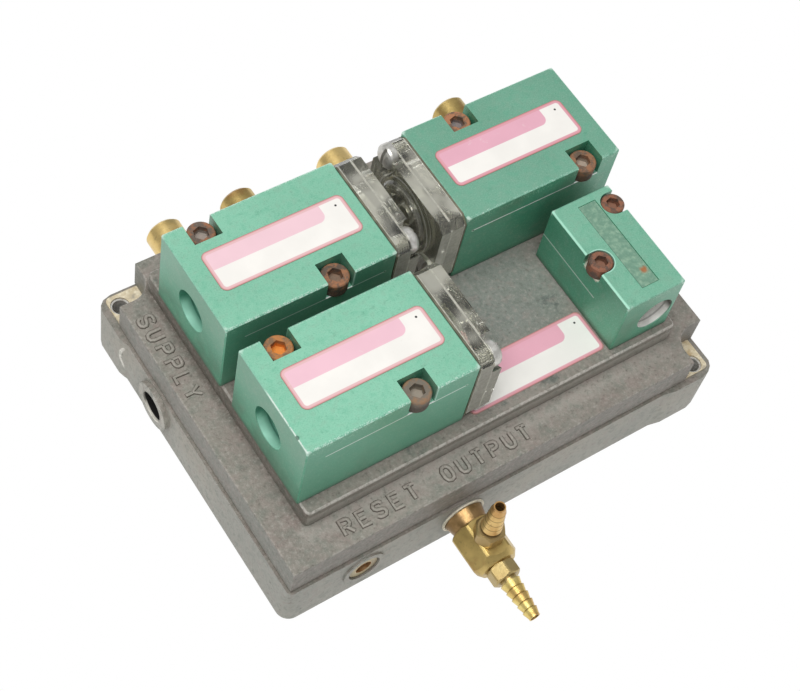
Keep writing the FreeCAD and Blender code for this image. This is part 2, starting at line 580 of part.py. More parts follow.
# Round brass couplings in the back wall.
for i, x in enumerate(REAR_X):
    profile = [(BASE_W - 7.6, 2.5), (BASE_W - 7.6, REAR_SEAT_R), (BASE_W + 1.0, REAR_SEAT_R), (BASE_W + 1.0, REAR_R),
               (BASE_W + 17.8, REAR_R), (BASE_W + 18.6, REAR_R - 0.8), (BASE_W + 18.6, 4.3), (BASE_W + 9.0, 4.3),
               (BASE_W + 9.0, 2.5)]
    save("rear_coupling_%d" % (i + 1), turned(profile, (x, 0, 10.5), (0, 1, 0), (0, 0, 1)))
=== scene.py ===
# %% [markdown]
# # A pneumatic valve manifold, dressed around its CAD frame
# The CAD model already holds every solid: two castings, three green spool valves,
# a small green module and the brass fittings. This lesson adds what a drawing leaves
# out: cast words, screw threads, stains, rust, worn edges and yellowed plastic.
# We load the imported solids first, and keep their box to compare with at the end.

# %% Load the frame
import math

import bmesh
import bpy
from mathutils import Matrix, Vector


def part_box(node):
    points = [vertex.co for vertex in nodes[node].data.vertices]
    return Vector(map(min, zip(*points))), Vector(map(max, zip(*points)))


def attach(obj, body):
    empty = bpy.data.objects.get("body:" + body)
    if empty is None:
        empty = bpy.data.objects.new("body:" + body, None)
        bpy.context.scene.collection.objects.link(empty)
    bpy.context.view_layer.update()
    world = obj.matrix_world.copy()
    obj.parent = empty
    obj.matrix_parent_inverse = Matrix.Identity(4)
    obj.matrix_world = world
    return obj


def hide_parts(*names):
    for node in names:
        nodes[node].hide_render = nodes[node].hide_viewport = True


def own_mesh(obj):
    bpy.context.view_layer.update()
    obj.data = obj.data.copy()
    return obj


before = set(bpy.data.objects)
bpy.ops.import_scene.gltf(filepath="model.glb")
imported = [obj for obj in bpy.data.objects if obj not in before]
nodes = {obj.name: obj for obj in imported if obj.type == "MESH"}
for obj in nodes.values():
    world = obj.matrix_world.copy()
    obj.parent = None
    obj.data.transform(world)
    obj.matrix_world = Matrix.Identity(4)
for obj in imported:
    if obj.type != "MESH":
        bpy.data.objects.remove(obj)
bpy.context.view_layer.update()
MM = 0.001


def add_object(name, data):
    """Put a mesh, curve, camera or lamp into the scene as an object."""
    made = bpy.data.objects.new(name, data)
    bpy.context.collection.objects.link(made)
    return made


# %% [markdown]
# ## Camera
# The photo was taken from above the front left corner. Its place and turn were
# solved from the straight edges of the base and valves, so the render and the
# photo can be laid over each other. The columns of the matrix are the camera's
# right, up and backward directions. A catalogue photo keeps paper white and colours
# full, which the plain Standard view does too.

# %% Camera
EYE = Vector((-0.20362, -0.19021, 0.44981))
RIGHT = Vector((0.82799, -0.54178, 0.14461))
UP = Vector((0.40344, 0.75467, 0.5174))
FORWARD = Vector((0.38945, 0.37006, -0.84344))
LENS = 79.07

camera_data = bpy.data.cameras.new("photo_camera")
camera_data.lens = LENS
camera_data.sensor_width = 36.0
camera_data.clip_start = 0.01
camera = add_object("photo_camera", camera_data)
turn = Matrix((RIGHT, UP, -FORWARD)).transposed().to_4x4()
camera.matrix_world = Matrix.Translation(EYE) @ turn
bpy.context.scene.camera = camera
bpy.context.scene.view_settings.view_transform = "Standard"
print("camera", tuple(round(v, 3) for v in EYE), "lens", LENS)

# %% [markdown]
# ## Floor and sky
# In the photo the paper under the valve is so bright that no shadow shows. A floor
# that glows evenly does the same, and lights the walls from below. The sky is one
# even white, which fills in the shadows on the metal.

# %% Floor and sky
FLOOR_SIZE = 6.0
SKY_STRENGTH = 0.42


def mesh_from(name, shape):
    """Store a bmesh under a name and free it."""
    data = bpy.data.meshes.new(name)
    shape.to_mesh(data)
    shape.free()
    return data


sheet = bmesh.new()
bmesh.ops.create_grid(sheet, x_segments=1, y_segments=1, size=FLOOR_SIZE / 2)
floor = add_object("floor", mesh_from("floor", sheet))

world = bpy.data.worlds.new("pale_room")
bpy.context.scene.world = world
world.use_nodes = True
sky = world.node_tree.nodes["Background"]
sky.inputs["Color"].default_value = (1.0, 1.0, 1.0, 1.0)
sky.inputs["Strength"].default_value = SKY_STRENGTH
print("floor", FLOOR_SIZE, "m, sky", SKY_STRENGTH)

# %% [markdown]
# ## Soft box
# One large square lamp hangs above the left side, so that the tops are pale and the
# fronts darker. A lamp shines along its own downward axis, so it is turned until
# that axis meets its target.

# %% Soft box
LAMP_PLACE = Vector((-0.3, -0.05, 1.15))
LAMP_TARGET = Vector((0, 0, 0.03))
LAMP_SIZE = 0.8
LAMP_WATTS = 12.5

lamp_data = bpy.data.lights.new("key_lamp", "AREA")
lamp_data.shape = "SQUARE"
lamp_data.size = LAMP_SIZE
lamp_data.energy = LAMP_WATTS
lamp = add_object("key_lamp", lamp_data)
aim = (LAMP_TARGET - LAMP_PLACE).to_track_quat("-Z", "Y")
lamp.matrix_world = Matrix.Translation(LAMP_PLACE) @ aim.to_matrix().to_4x4()
print("lamp", lamp.name, LAMP_WATTS, "W")

# %% [markdown]
# ## A small language for materials
# Every finish below is worked out by shader nodes. `Value` wraps a socket, so that
# masks are written as sums and products, and each adds its Math node by itself. A
# mask is 1 where a mark shows, and `step`, `between` and `near` draw its limits.


# %% Shader values
class Value:
    """A number that changes over the surface: one output socket of a node."""

    def __init__(self, finish, socket):
        self.finish = finish
        self.socket = socket

    def maths(self, operation, *inputs):
        return self.finish.node("ShaderNodeMath", {"operation": operation}, inputs)

    def __add__(self, other):
        return self.maths("ADD", self, other)

    __radd__ = __add__

    def __sub__(self, other):
        return self.maths("SUBTRACT", self, other)

    def __rsub__(self, other):
        return self.maths("SUBTRACT", other, self)

    def __mul__(self, other):
        return self.maths("MULTIPLY", self, other)

    __rmul__ = __mul__

    def __truediv__(self, other):
        return self.maths("DIVIDE", self, other)

    def low(self, other):
        return self.maths("MINIMUM", self, other)

    def high(self, other):
        return self.maths("MAXIMUM", self, other)

    def size(self):
        return self.maths("ABSOLUTE", self)

    def root(self):
        return self.maths("SQRT", self)

    def rest(self):
        """The part behind the decimal point, which repeats a pattern."""
        return self.maths("FRACT", self)

    def step(self, start, end):
        """Smoothly from 0 at start to 1 at end, whichever is larger."""
        results = (0.0, 1.0) if start < end else (1.0, 0.0)
        return self.finish.node("ShaderNodeMapRange", {"interpolation_type": "SMOOTHSTEP"},
                                [self, min(start, end), max(start, end), *results])

    def between(self, start, full, fading, end):
        """From 0 at start up to 1 at full, and from 1 at fading down to 0 at end."""
        return self.step(start, full) * self.step(end, fading)

    def near(self, place, outer, inner):
        """1 up to inner away from a place, and 0 from outer on."""
        return (self - place).size().step(outer, inner)


print("values")

# %% [markdown]
# ## One finish, one material
# `Finish` holds one material, and its `node` adds any node from its type, settings
# and inputs. A recipe starts with a `color`, and each `stain` lays another one over
# it through a mask, as a painter would. Patterns sit on the object's own
# coordinates, so they stay in place in every view.


# %% Finishes
class Finish:
    """One procedural material and the tools to write its recipe."""

    def __init__(self, name):
        self.material = bpy.data.materials.new(name)
        self.material.use_nodes = True
        self.tree = self.material.node_tree
        self.shader = self.tree.nodes["Principled BSDF"]
        self.place = self.node("ShaderNodeTexCoord", output="Object")
        self.x, self.y, self.z = self.parts(self.place)
        self.color = None

    def feed(self, socket, value):
        """Link a value to a socket, or set a number or a colour on it."""
        if isinstance(value, Value):
            value = value.socket
        if isinstance(value, bpy.types.NodeSocket):
            self.tree.links.new(value, socket)
        elif hasattr(value, "__len__"):
            socket.default_value = (*value, 1.0)
        else:
            socket.default_value = value

    def node(self, kind, settings=None, inputs=(), output=0):
        """Add a node. Inputs are in socket order, or a dict by name or number."""
        made = self.tree.nodes.new(kind)
        for key, value in (settings or {}).items():
            setattr(made, key, value)
        pairs = inputs.items() if isinstance(inputs, dict) else enumerate(inputs)
        for key, value in pairs:
            self.feed(made.inputs[key], value)
        return Value(self, made.outputs[output])

    def parts(self, vector):
        """The x, y and z of a vector."""
        split = self.node("ShaderNodeSeparateXYZ", {}, [vector]).socket.node
        return [Value(self, output) for output in split.outputs]

    def noise(self, scale, detail=4.0, rough=0.55):
        return self.node("ShaderNodeTexNoise", {}, {"Vector": self.place, "Scale": scale, "Detail": detail,
                                                    "Roughness": rough})

    def facing(self, axis):
        """How much the face looks along x, y or z, from -1 to 1."""
        return self.parts(self.node("ShaderNodeTexCoord", output="Normal"))["xyz".index(axis)]

    def away(self, **place):
        """Distance from a point, or from a line where only two places are given."""
        total = 0.0
        for axis, at in place.items():
            gap = getattr(self, axis) - at
            total = gap * gap + total
        return total.root()

    def above(self, x, y):
        """Distance from an upright line through a place on the base, in millimetres."""
        return self.away(x=place_x(x), y=place_y(y))

    def mix(self, mask, a, b):
        """Colour a where the mask is 0, colour b where it is 1."""
        return self.node("ShaderNodeMix", {"data_type": "RGBA"}, {0: mask, 6: a, 7: b}, output=2)

    def stain(self, mask, color):
        """Lay a colour over the finish where the mask is 1."""
        self.color = self.mix(mask, self.color, color)

    def bump(self, height, strength, distance):
        return self.node("ShaderNodeBump", {}, {"Strength": strength, "Distance": distance, "Height": height})

    def surface(self, **sockets):
        """Set the shader's sockets, and give it the colour laid so far."""
        for key, value in sockets.items():
            self.feed(self.shader.inputs[key.replace("_", " ")], value)
        self.feed(self.shader.inputs["Base Color"], self.color)
        return self.material


def dress(material, *names):
    """Give a CAD node, or several, one material in every slot."""
    for name in names:
        piece = nodes[name]
        if not piece.material_slots:
            piece.data.materials.append(material)
        for slot in piece.material_slots:
            slot.material = material


print("finishes")

# %% [markdown]
# ## Floor finish
# The paper gives off an even white and nothing else, so that it hides its own
# shadows. A plain white surface would show them.

# %% Floor finish
paper = Finish("white_paper")
paper.color = (0, 0, 0)
paper.surface(Roughness=1.0, Specular_IOR_Level=0.0, Emission_Color=(1, 1, 1), Emission_Strength=1.0)
floor.data.materials.append(paper.material)
print("floor finish", paper.material.name)

# %% [markdown]
# ## Places on the object
# The drawing measures from the front left corner of the base, in millimetres. The
# stored origin is the middle of the underside, so short functions move between the
# two. Three heights come back often: the seam, the ledge with the cast words, and
# the raised bed that carries the valves.

# %% Places
BASE_MIDDLE = (73.5, 52.35)
SEAM = 19.3 * MM
LEDGE_TOP = 29.6 * MM
BED_TOP = 36.9 * MM


def place_x(x):
    """Millimetres from the base's left edge, to the frame's metres."""
    return (x - BASE_MIDDLE[0]) * MM


def place_y(y):
    """Millimetres from the base's front edge, to the frame's metres."""
    return (y - BASE_MIDDLE[1]) * MM


def spot(x, y):
    """A place on the base, in millimetres, to the frame's metres."""
    return (place_x(x), place_y(y))


print("seam", SEAM, "ledge", LEDGE_TOP, "bed", BED_TOP)

# %% [markdown]
# ## Old cast alloy
# Both castings are bare sand cast alloy. Years of oil have left them a warm grey
# with a coarse grain. A picture of real metal could be wrapped round them, but noise
# of several sizes fits every side and needs no file. Flecks, grain and sand come
# after the marks, so that they cross them.


# %% Cast alloy
def scaled(color, factor):
    """The same colour, lighter or darker."""
    return tuple(v * factor for v in color)


class CastAlloy(Finish):
    """Warm grey alloy, with the noises and masks that its marks share."""

    def __init__(self, name, tone=1.0):
        super().__init__(name)
        self.broad = self.noise(38.0, 3.0)
        self.blotch = self.noise(150.0, 4.0, 0.62)
        self.grain = self.noise(900.0, 3.0, 0.7)
        self.up = self.facing("z")
        self.wall = self.up.size().step(0.6, 0.3)
        self.rough = self.broad * 0.16 + 0.5
        greys = [scaled(grey, tone) for grey in ((0.205, 0.188, 0.16), (0.25, 0.23, 0.198))]
        self.color = self.mix(self.broad.step(0.35, 0.66), *greys)
        self.stain(self.blotch.step(0.5, 0.72) * 0.5, (0.225, 0.17, 0.152))
        self.stain(self.blotch.step(0.5, 0.3) * 0.5, (0.16, 0.178, 0.148))

    def weather(self):
        """Lay flecks, grain and sand over the marks."""
        fleck = self.noise(430.0, 2.0)
        sand = self.noise(2300.0, 2.0, 0.6)
        self.stain(fleck.step(0.5, 0.68) * 0.35, (0.285, 0.235, 0.21))
        self.stain(fleck.step(0.5, 0.32) * 0.35, (0.15, 0.17, 0.14))
        self.stain(self.grain.step(0.48, 0.75) * 0.55, (0.37, 0.345, 0.31))
        self.stain(self.grain.step(0.46, 0.24) * 0.6, (0.08, 0.07, 0.056))
        self.stain(sand.step(0.55, 0.8) * 0.3, (0.42, 0.4, 0.36))
        self.height = self.grain * 0.7 + self.blotch * 0.9 + sand * 0.25

    def done(self):
        relief = self.bump(self.height, 0.45, 0.00045)
        return self.surface(Metallic=0.15, Roughness=self.rough, Normal=relief)


print("cast alloy")

# %% [markdown]
# ## Upper casting
# The bed has cool green stains where it was wiped. The step below it is darkened by dirt and by painted
# shade, less at the front, where the ledge was swept clean, and its front face is painted lighter against its
# shade. The rims are rubbed pale and carry a painted highlight. Dirt and painted light follow height and
# facing, so the masks do, and nothing is hand painted.

# %% Upper casting
WIPED_SPOT = (97, 44)
BED_MIDDLE = (73.0, 54.1)
BED_HALF = (62.6 * MM, 42.9 * MM)


def upper_marks(cast):
    """Stains on the bed, paler walls, and around the step grime with painted shade, painted light, and rubbed
    rims with painted highlights.
    """
    bed = cast.z.step(BED_TOP - 0.0003, BED_TOP - 0.0001)
    wiped = cast.above(*WIPED_SPOT) + cast.blotch * 0.016
    cast.stain(bed * wiped.step(0.034, 0.018) * 0.7, (0.195, 0.228, 0.205))
    cast.stain(bed * cast.blotch.step(0.42, 0.3) * 0.6, (0.065, 0.075, 0.07))

    low_wall = cast.z.step(LEDGE_TOP + 0.0002, LEDGE_TOP - 0.0004) * cast.wall
    left = cast.facing("x").step(-0.6, -0.9)
    left_grey = cast.mix(cast.broad.step(0.4, 0.6), (0.205, 0.21, 0.18), (0.235, 0.228, 0.2))
    cast.stain(low_wall * 0.8, (0.215, 0.2, 0.175))
    cast.stain(low_wall * left * 0.8, left_grey)
    front = cast.facing("y").step(-0.6, -0.9)
    # Painted light: the front face of the step is made lighter against its shade.
    lit_riser = cast.wall * front * cast.z.step(LEDGE_TOP + 0.0002, LEDGE_TOP + 0.0008)
    cast.stain(lit_riser * 0.8, (0.4, 0.38, 0.335))

    # The step wall just under the bed's edge is darkened, partly by dirt and partly by painted shade under
    # the edge.
    step_wall = cast.z.between(BED_TOP - 0.0046, BED_TOP - 0.0022, BED_TOP - 0.0014, BED_TOP - 0.0006)
    step_wall = step_wall * (1.0 - lit_riser * cast.z.step(BED_TOP - 0.0022, BED_TOP - 0.0034))
    cast.stain(step_wall * (cast.blotch * 0.5 + 0.3), (0.095, 0.08, 0.058))
    # Dirt and painted shade at the foot of the step on the ledge, weaker at the front.
    foot = (cast.x - place_x(BED_MIDDLE[0])).size() - BED_HALF[0]
    foot = foot.high((cast.y - place_y(BED_MIDDLE[1])).size() - BED_HALF[1])
    ledge = cast.z.step(BED_TOP - 0.002, LEDGE_TOP + 0.0006)
    front_half = cast.y.step(place_y(60), place_y(25))
    back_half = 1.0 - front_half * 0.6
    cast.stain(ledge * foot.step(0.0024, 0.0004) * 0.6 * back_half, (0.08, 0.068, 0.05))
    swept = cast.y.between(place_y(4.5), place_y(8.0), place_y(11.0), place_y(12.0))
    swept = swept * cast.x.between(place_x(6), place_x(10), place_x(130), place_x(136))
    cast.stain(swept * cast.up.step(0.8, 0.95) * 0.45, (0.37, 0.355, 0.315))

    # The bed's front rim and the ledge's outer edge are rubbed pale and carry a painted highlight.
    rim = cast.z.step(BED_TOP - 0.0008, BED_TOP - 0.0003) * cast.up.step(0.95, 0.8) * front_half
    cast.stain(rim * (cast.grain.step(0.4, 0.6) * 0.5 + 0.3), (0.6, 0.58, 0.53))
    edge = cast.z.step(LEDGE_TOP - 0.0009, LEDGE_TOP - 0.0004) * cast.up.between(0.05, 0.3, 0.8, 0.97)
    cast.stain(edge * (cast.grain.step(0.4, 0.65) * 0.5 + 0.1), (0.42, 0.4, 0.36))


upper = CastAlloy("cast_alloy_upper")
upper_marks(upper)
upper.weather()
dress(upper.done(), "upper_casting")
print("upper casting", len(upper.tree.nodes), "nodes")

# %% [markdown]
# ## Lower casting
# The walls of the lower casting are paler and more even, with painted shade just under the seam. A clean ring
# shows where the tee was screwed in, the rim of the supply port is rubbed and carries a painted highlight,
# and a painted highlight curves beside it on the rounded end of the pad. The port's inside is painted black
# as shade after the grain, so that the grain does not lighten it, with a painted highlight on its lower lip,
# and the corner holes are painted light grey against their shade.

# %% Lower casting
PORT_HEIGHT = 10.8 * MM
TEE_X = 57.8
SUPPLY_Y = 71.5
SUPPLY_MOUTH = -1.5
PAD_HIGHLIGHT_CENTRE = {"y": place_y(83.4), "z": 10.4 * MM}
PAD_HIGHLIGHT_RADIUS = 7.6 * MM
CORNER_HOLES = ((4.2, 100.5), (142.8, 4.2))


def wall_marks(cast):
    """Pale walls, brown in their upper part and darkened under the seam with painted shade."""
    pale = cast.mix(cast.broad.step(0.35, 0.66), (0.3, 0.3, 0.262), (0.37, 0.365, 0.32))
    cast.stain(cast.wall, pale)
    upper_part = cast.z.step(4 * MM, 13 * MM)
    cast.stain(upper_part * cast.broad.step(0.4, 0.7) * cast.wall * 0.35, (0.33, 0.285, 0.22))
    # Painted shade: a darker band just under the seam.
    cast.stain(cast.z.step(SEAM - 0.0014, SEAM - 0.0006) * 0.25, (0.13, 0.118, 0.1))


def port_marks(cast, mouth, depth):
    """A ring behind the tee, the supply port's rim, rubbed and with a painted highlight, a painted highlight
    beside it, and painted light in the grey corner holes.
    """
    ring = cast.away(x=place_x(TEE_X), z=PORT_HEIGHT).step(0.00735, 0.007)
    ring = ring * cast.y.step(place_y(-0.2), place_y(-0.6))
    cast.stain(ring * (cast.grain * 0.3 + 0.7), (0.86, 0.8, 0.62))
    # The port's rim is rubbed pale and carries a painted highlight.
    halo = mouth.between(0.0048, 0.0054, 0.007, 0.0078) * depth.step(0.0008, 0.0002)
    cast.stain(halo * cast.grain.step(0.35, 0.6) * 0.5, (0.6, 0.57, 0.5))
    # A painted highlight curving on the rounded end of the pad beside the port.
    scratch = cast.away(**PAD_HIGHLIGHT_CENTRE).near(PAD_HIGHLIGHT_RADIUS, 0.0007, 0.0003)
    scratch = scratch * depth.step(0.0041, 0.0033) * cast.y.step(place_y(88.8), place_y(90.0))
    cast.stain(scratch * 0.8, (0.85, 0.83, 0.75))
    # Painted light: the corner holes are painted light grey against their own shade.
    for x, y in CORNER_HOLES:
        hole = cast.above(x, y).step(0.0032, 0.003)
        cast.stain(hole * 0.9, (0.5, 0.49, 0.46))


def port_inside(cast, mouth, depth):
    """Painted black shade inside the supply port, with a painted highlight on the lower lip of its mouth."""
    bore = mouth.step(0.0053, 0.0049) * depth.step(0.0225, 0.0185)
    # Painted shade: the port's inside is made near black, after the grain so that the grain does not lighten
    # it.
    painted_port_shade = bore * depth.step(0.0003, 0.0007)
    cast.rough = cast.rough.high(painted_port_shade)
    cast.stain(painted_port_shade, (0.01, 0.009, 0.008))
    # Painted highlight on the lower lip at the port's mouth.
    sill = bore * depth.step(0.0008, 0.0005) * cast.z.step(0.009, 0.0072)
    cast.stain(sill * 0.85, (0.8, 0.77, 0.68))


lower = CastAlloy("cast_alloy_lower")
from_axis = lower.away(y=place_y(SUPPLY_Y), z=PORT_HEIGHT)
from_mouth = lower.x - place_x(SUPPLY_MOUTH)
wall_marks(lower)
port_marks(lower, from_axis, from_mouth)
lower.weather()
port_inside(lower, from_axis, from_mouth)
dress(lower.done(), "lower_casting")
print("lower casting", len(lower.tree.nodes), "nodes")

# %% [markdown]
# ## Fibre gasket
# The cream sheet between the castings shows at the two corner ledges, stained
# brown by oil. Fine specks give it the look of pressed fibre.

# %% Fibre gasket
fibre = Finish("fibre_gasket")
speck = fibre.noise(700.0, 3.0, 0.7)
patch = fibre.noise(150.0, 4.0, 0.6)
fibre.color = fibre.mix(speck.step(0.4, 0.7), (0.55, 0.47, 0.32), (0.72, 0.65, 0.49))
fibre.stain(patch.step(0.5, 0.68) * 0.8, (0.36, 0.25, 0.11))
fibre.stain(patch.step(0.42, 0.3) * 0.7, (0.28, 0.26, 0.22))
fibre.surface(Roughness=0.9, Normal=fibre.bump(speck + patch, 0.4, 0.0003))
dress(fibre.material, "casting_gasket")
print("gasket")

# %% [markdown]
# ## Green anodised metal
# The four bodies are milled bar, dyed a deep green under a clear satin skin, and the metal below reflects in
# green. The pale sheen on top is painted: the tops get a paler green than the sides, as a lit copy of the
# dye, and tone scales that top colour. Handling has rubbed the edges to bright metal. A body is a box, so a
# point is near an edge where the second smallest of its distances to the three nearest faces is small.
# A thin line is scribed along each side, with a prick mark at its end.


# %% Green anodised metal
def box_gaps(finish, low, high):
    """Distances to a box's faces along x and y, and the second smallest of all three."""
    gx, gy, gz = ((b - a) / 2 - (value - (a + b) / 2).size()
                  for value, a, b in zip((finish.x, finish.y, finish.z), low, high))
    second = gx + gy + gz - gx.low(gy).low(gz) - gx.high(gy).high(gz)
    return gx, gy, second


def green_anodised(part, line_z, line_span, dot, chips, tone, wear):
    """Dyed metal with a painted lit top and painted shaded sides, rubbed edges, a line scribed along x or y,
    and dot as its prick mark.
    """
    low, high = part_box(part + "_body")
    along, start, end = line_span
    green = Finish("green_" + part)
    broad = green.noise(42.0, 3.0)
    fine = green.noise(520.0, 4.0, 0.65)
    spark = green.noise(2600.0, 2.0, 0.6)
    fleck = green.noise(430.0, 2.0)
    gx, gy, second = box_gaps(green, low, high)
    side_gap = gy if along == "x" else gx
    top_gap = high[2] - green.z
    up = green.facing("z")
    upright = up.step(0.5, 0.2)

    # Painted light: the tops get a paler green as if lit, the sides a darker one as if shaded, and tone
    # scales the tops.
    top = [scaled(shade, tone) for shade in ((0.222, 0.535, 0.375), (0.255, 0.59, 0.42))]
    side = green.mix(broad.step(0.3, 0.7), (0.06, 0.3, 0.178), (0.09, 0.36, 0.222))
    green.color = green.mix(up.step(0.3, 0.85), side, green.mix(broad.step(0.3, 0.7), *top))
    green.stain(fleck.step(0.5, 0.7) * 0.22, (0.25, 0.4, 0.3))
    green.stain(fleck.step(0.5, 0.3) * 0.22, (0.08, 0.4, 0.25))
    green.stain(fine.step(0.42, 0.3) * 0.25, (0.06, 0.26, 0.16))
    green.stain(spark.step(0.52, 0.7) * 0.28, (0.36, 0.6, 0.47))
    green.stain(spark.step(0.48, 0.3) * 0.28, (0.075, 0.235, 0.15))
    # Darker towards the bottom of each wall, near the bed.
    darkening = (green.z - low[2]).step(0.0028, 0.0) * upright * (fine * 0.8 + 0.3)
    green.stain(darkening * 0.75, (0.04, 0.052, 0.028))
    green.stain(broad.step(0.58, 0.72) * upright * 0.3, (0.11, 0.12, 0.075))

    worn = second.step(0.0005, 0.00022) * 0.8
    rub = worn * top_gap.step(0.004, 0.0002) * (fine * 0.55 + spark * 0.45).step(0.34, 0.52)
    green.stain(rub * 0.7, (0.34, 0.68, 0.52))
    chip = side_gap.step(0.0009, 0.0002) * top_gap.step(0.0008, 0.0002)
    chip = chip * (fine * 0.45 + spark * 0.9).step(chips + 0.01, chips + 0.09)
    corner = (gx + gy + top_gap).step(0.0024, 0.0008) * fine.step(0.38, 0.55)
    green.stain(chip.high(corner) * 0.8, (0.66, 0.84, 0.74))
    nicks = gy.step(0.0006, 0.0002) * top_gap.step(0.0042, 0.0004) * upright
    green.stain(nicks * (spark * 0.6 + fine * 0.4).step(0.54, 0.6) * 0.6, (0.5, 0.8, 0.64))

    shallow = side_gap.step(0.0004, 0.0002)
    line = green.z.near(line_z, 0.0003, 0.00014) * shallow
    line = line * getattr(green, along).between(start, start + 0.0004, end - 0.0004, end)
    faint = 1.0 if along == "x" else 0.5
    green.stain(line * (fine.step(0.25, 0.45) * 0.3 + 0.7) * faint, (0.95, 1.0, 0.97))
    if dot is not None:
        prick = green.away(**{along: dot, "z": line_z})
        green.stain(prick.step(0.00062, 0.00045) * shallow, (0.62, 0.84, 0.72))
        green.stain(prick.step(0.00038, 0.00028) * shallow, (0.01, 0.03, 0.02))
    wear(green)
    bright = rub.high(chip).high(line)
    green.surface(Metallic=0.35, Roughness=fine * 0.14 + 0.34 - bright * 0.05, Coat_Weight=0.3,
                  Coat_Roughness=0.35, Normal=green.bump(fine + spark * 0.5, 0.1, 0.0002))
    dress(green.material, part + "_body")


print("green metal")

# %% [markdown]
# ## Valve bodies
# Each valve body has a bore in its plain end, painted with light on its lower half and shade on its upper
# half and deeper in, and a painted highlight on the edge of its screw pocket. Valve 3 stands turned round, so
# one function measures from the plain end's corner of any of them. The two valves that are not turned have
# their front faces painted lighter against their shade. The front valve also has a nicked end, and the two
# plain ends at the front are soiled near the bed.

# %% Valve bodies
VALVES = ("valve1", "valve2", "valve3")
BORE_UP = 14.6 * MM
BORE_EDGE = 6.4 * MM
BORE_GROOVE = 3.4 * MM
POCKET_AT = 39.65 * MM
POCKET_DEEP = 7 * MM
NICK_AT = 5.2 * MM
LINE_Z = BED_TOP + 21.4 * MM
LINE_ENDS = (6 * MM, 50 * MM)


def is_turned(valve):
    return valve == "valve3"


def from_corner(valve, x, y):
    """A place at x and y from the plain end's corner of a valve body, turned with the valve."""
    low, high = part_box(valve + "_body")
    if is_turned(valve):
        return (high[0] - x, high[1] - y)
    return (low[0] + x, low[1] + y)


def valve_wear(valve):
    """What a valve body has of its own: an end bore with painted light and shade, a painted highlight on the
    pocket edge, a front face painted lighter, a soiled or nicked end.
    """
    low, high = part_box(valve + "_body")
    end, near_side = from_corner(valve, 0, 0)
    inward = -1.0 if is_turned(valve) else 1.0
    axis = BED_TOP + BORE_UP

    def wear(green):
        depth = (green.x - end) * inward
        front = (green.y - near_side) * inward
        bore = green.away(y=(low[1] + high[1]) / 2, z=axis).step(BORE_EDGE, BORE_EDGE - 0.00012)
        bore = bore * depth.step(0.01, 0.009)
        # Painted light and shade in the end bore: a lit lower half, a shaded upper half, and darker deeper in
        # and at the groove.
        lit_lower_half = (green.z + green.noise(300.0) * 0.002).step(axis + 0.0002, axis - 0.003)
        end_bore_light_and_shade = green.mix(lit_lower_half, (0.018, 0.17, 0.11), (0.44, 0.85, 0.67))
        end_bore_light_and_shade = green.mix(depth.step(0.0014, 0.0034) * 0.6, end_bore_light_and_shade, (0.05, 0.26, 0.17))
        end_bore_light_and_shade = green.mix(depth.near(BORE_GROOVE, 0.0004, 0.0001) * 0.6, end_bore_light_and_shade, (0.02, 0.12, 0.08))
        green.stain(bore * depth.step(0.00005, 0.0003), end_bore_light_and_shade)

        # Painted highlight along the edge of the screw pocket.
        pocket = depth.near(POCKET_AT, 0.00045, 0.0002) * front.step(0.0005, 0.0002)
        pocket = pocket * (green.z - high[2] + POCKET_DEEP).step(0.0, 0.0008)
        green.stain(pocket * 0.8, (0.62, 0.95, 0.8))
        if not is_turned(valve):
            # Painted light: the front face is made lighter against its shade.
            green.stain(green.facing("y").step(-0.7, -0.95) * 0.4, (0.17, 0.43, 0.3))
            plain_end = green.facing("x").step(-0.7, -0.95) * (1.0 - bore)
            height = green.z - low[2]
            green.stain(plain_end * height.step(0.01, 0.024) * 0.3, (0.23, 0.32, 0.245))
            soiled = height.step(0.016, 0.002) * green.noise(110.0).step(0.35, 0.6)
            green.stain(plain_end * soiled * 0.45, (0.055, 0.115, 0.07))
        if valve == "valve1":
            rim = depth.step(0.0004, 0.00018) * green.z.step(high[2] - 0.0005, high[2] - 0.00015)
            rim = rim * front.step(0.022, 0.018)
            green.stain(rim * green.noise(700.0).step(0.26, 0.38), (0.8, 0.92, 0.84))
            nick = green.away(x=end, y=low[1] + NICK_AT, z=high[2]).step(0.0008, 0.0006)
            green.stain(nick * 0.8, (0.04, 0.13, 0.085))

    return wear


for valve, chips, tone in zip(VALVES, (0.68, 0.65, 0.74), (1.0, 0.98, 0.72)):
    near_end, far_end = (from_corner(valve, x, 0)[0] for x in LINE_ENDS)
    span = ("x", min(near_end, far_end), max(near_end, far_end))
    green_anodised(valve, LINE_Z, span, far_end, chips, tone, valve_wear(valve))
print("valve bodies, lines at height", round(LINE_Z / MM, 2))

# %% [markdown]
# ## Small module
# The module's front bore and left screw pocket were milled after the dye, so they are bare metal. A slanted
# mask paints light on the lower left part of the bore and shade on its upper right part, and the groove and
# the deeper part of the bore are painted darker. The top left edge carries a painted highlight.

# %% Small module
MODULE_X = 126.0
MODULE_BORE_UP = 9.9 * MM
MODULE_GROOVE = 2.2 * MM
MODULE_LINE_Z = 47.9 * MM
MODULE_SCREWS = ((115.45, 29.9), (130.55, 44.5))


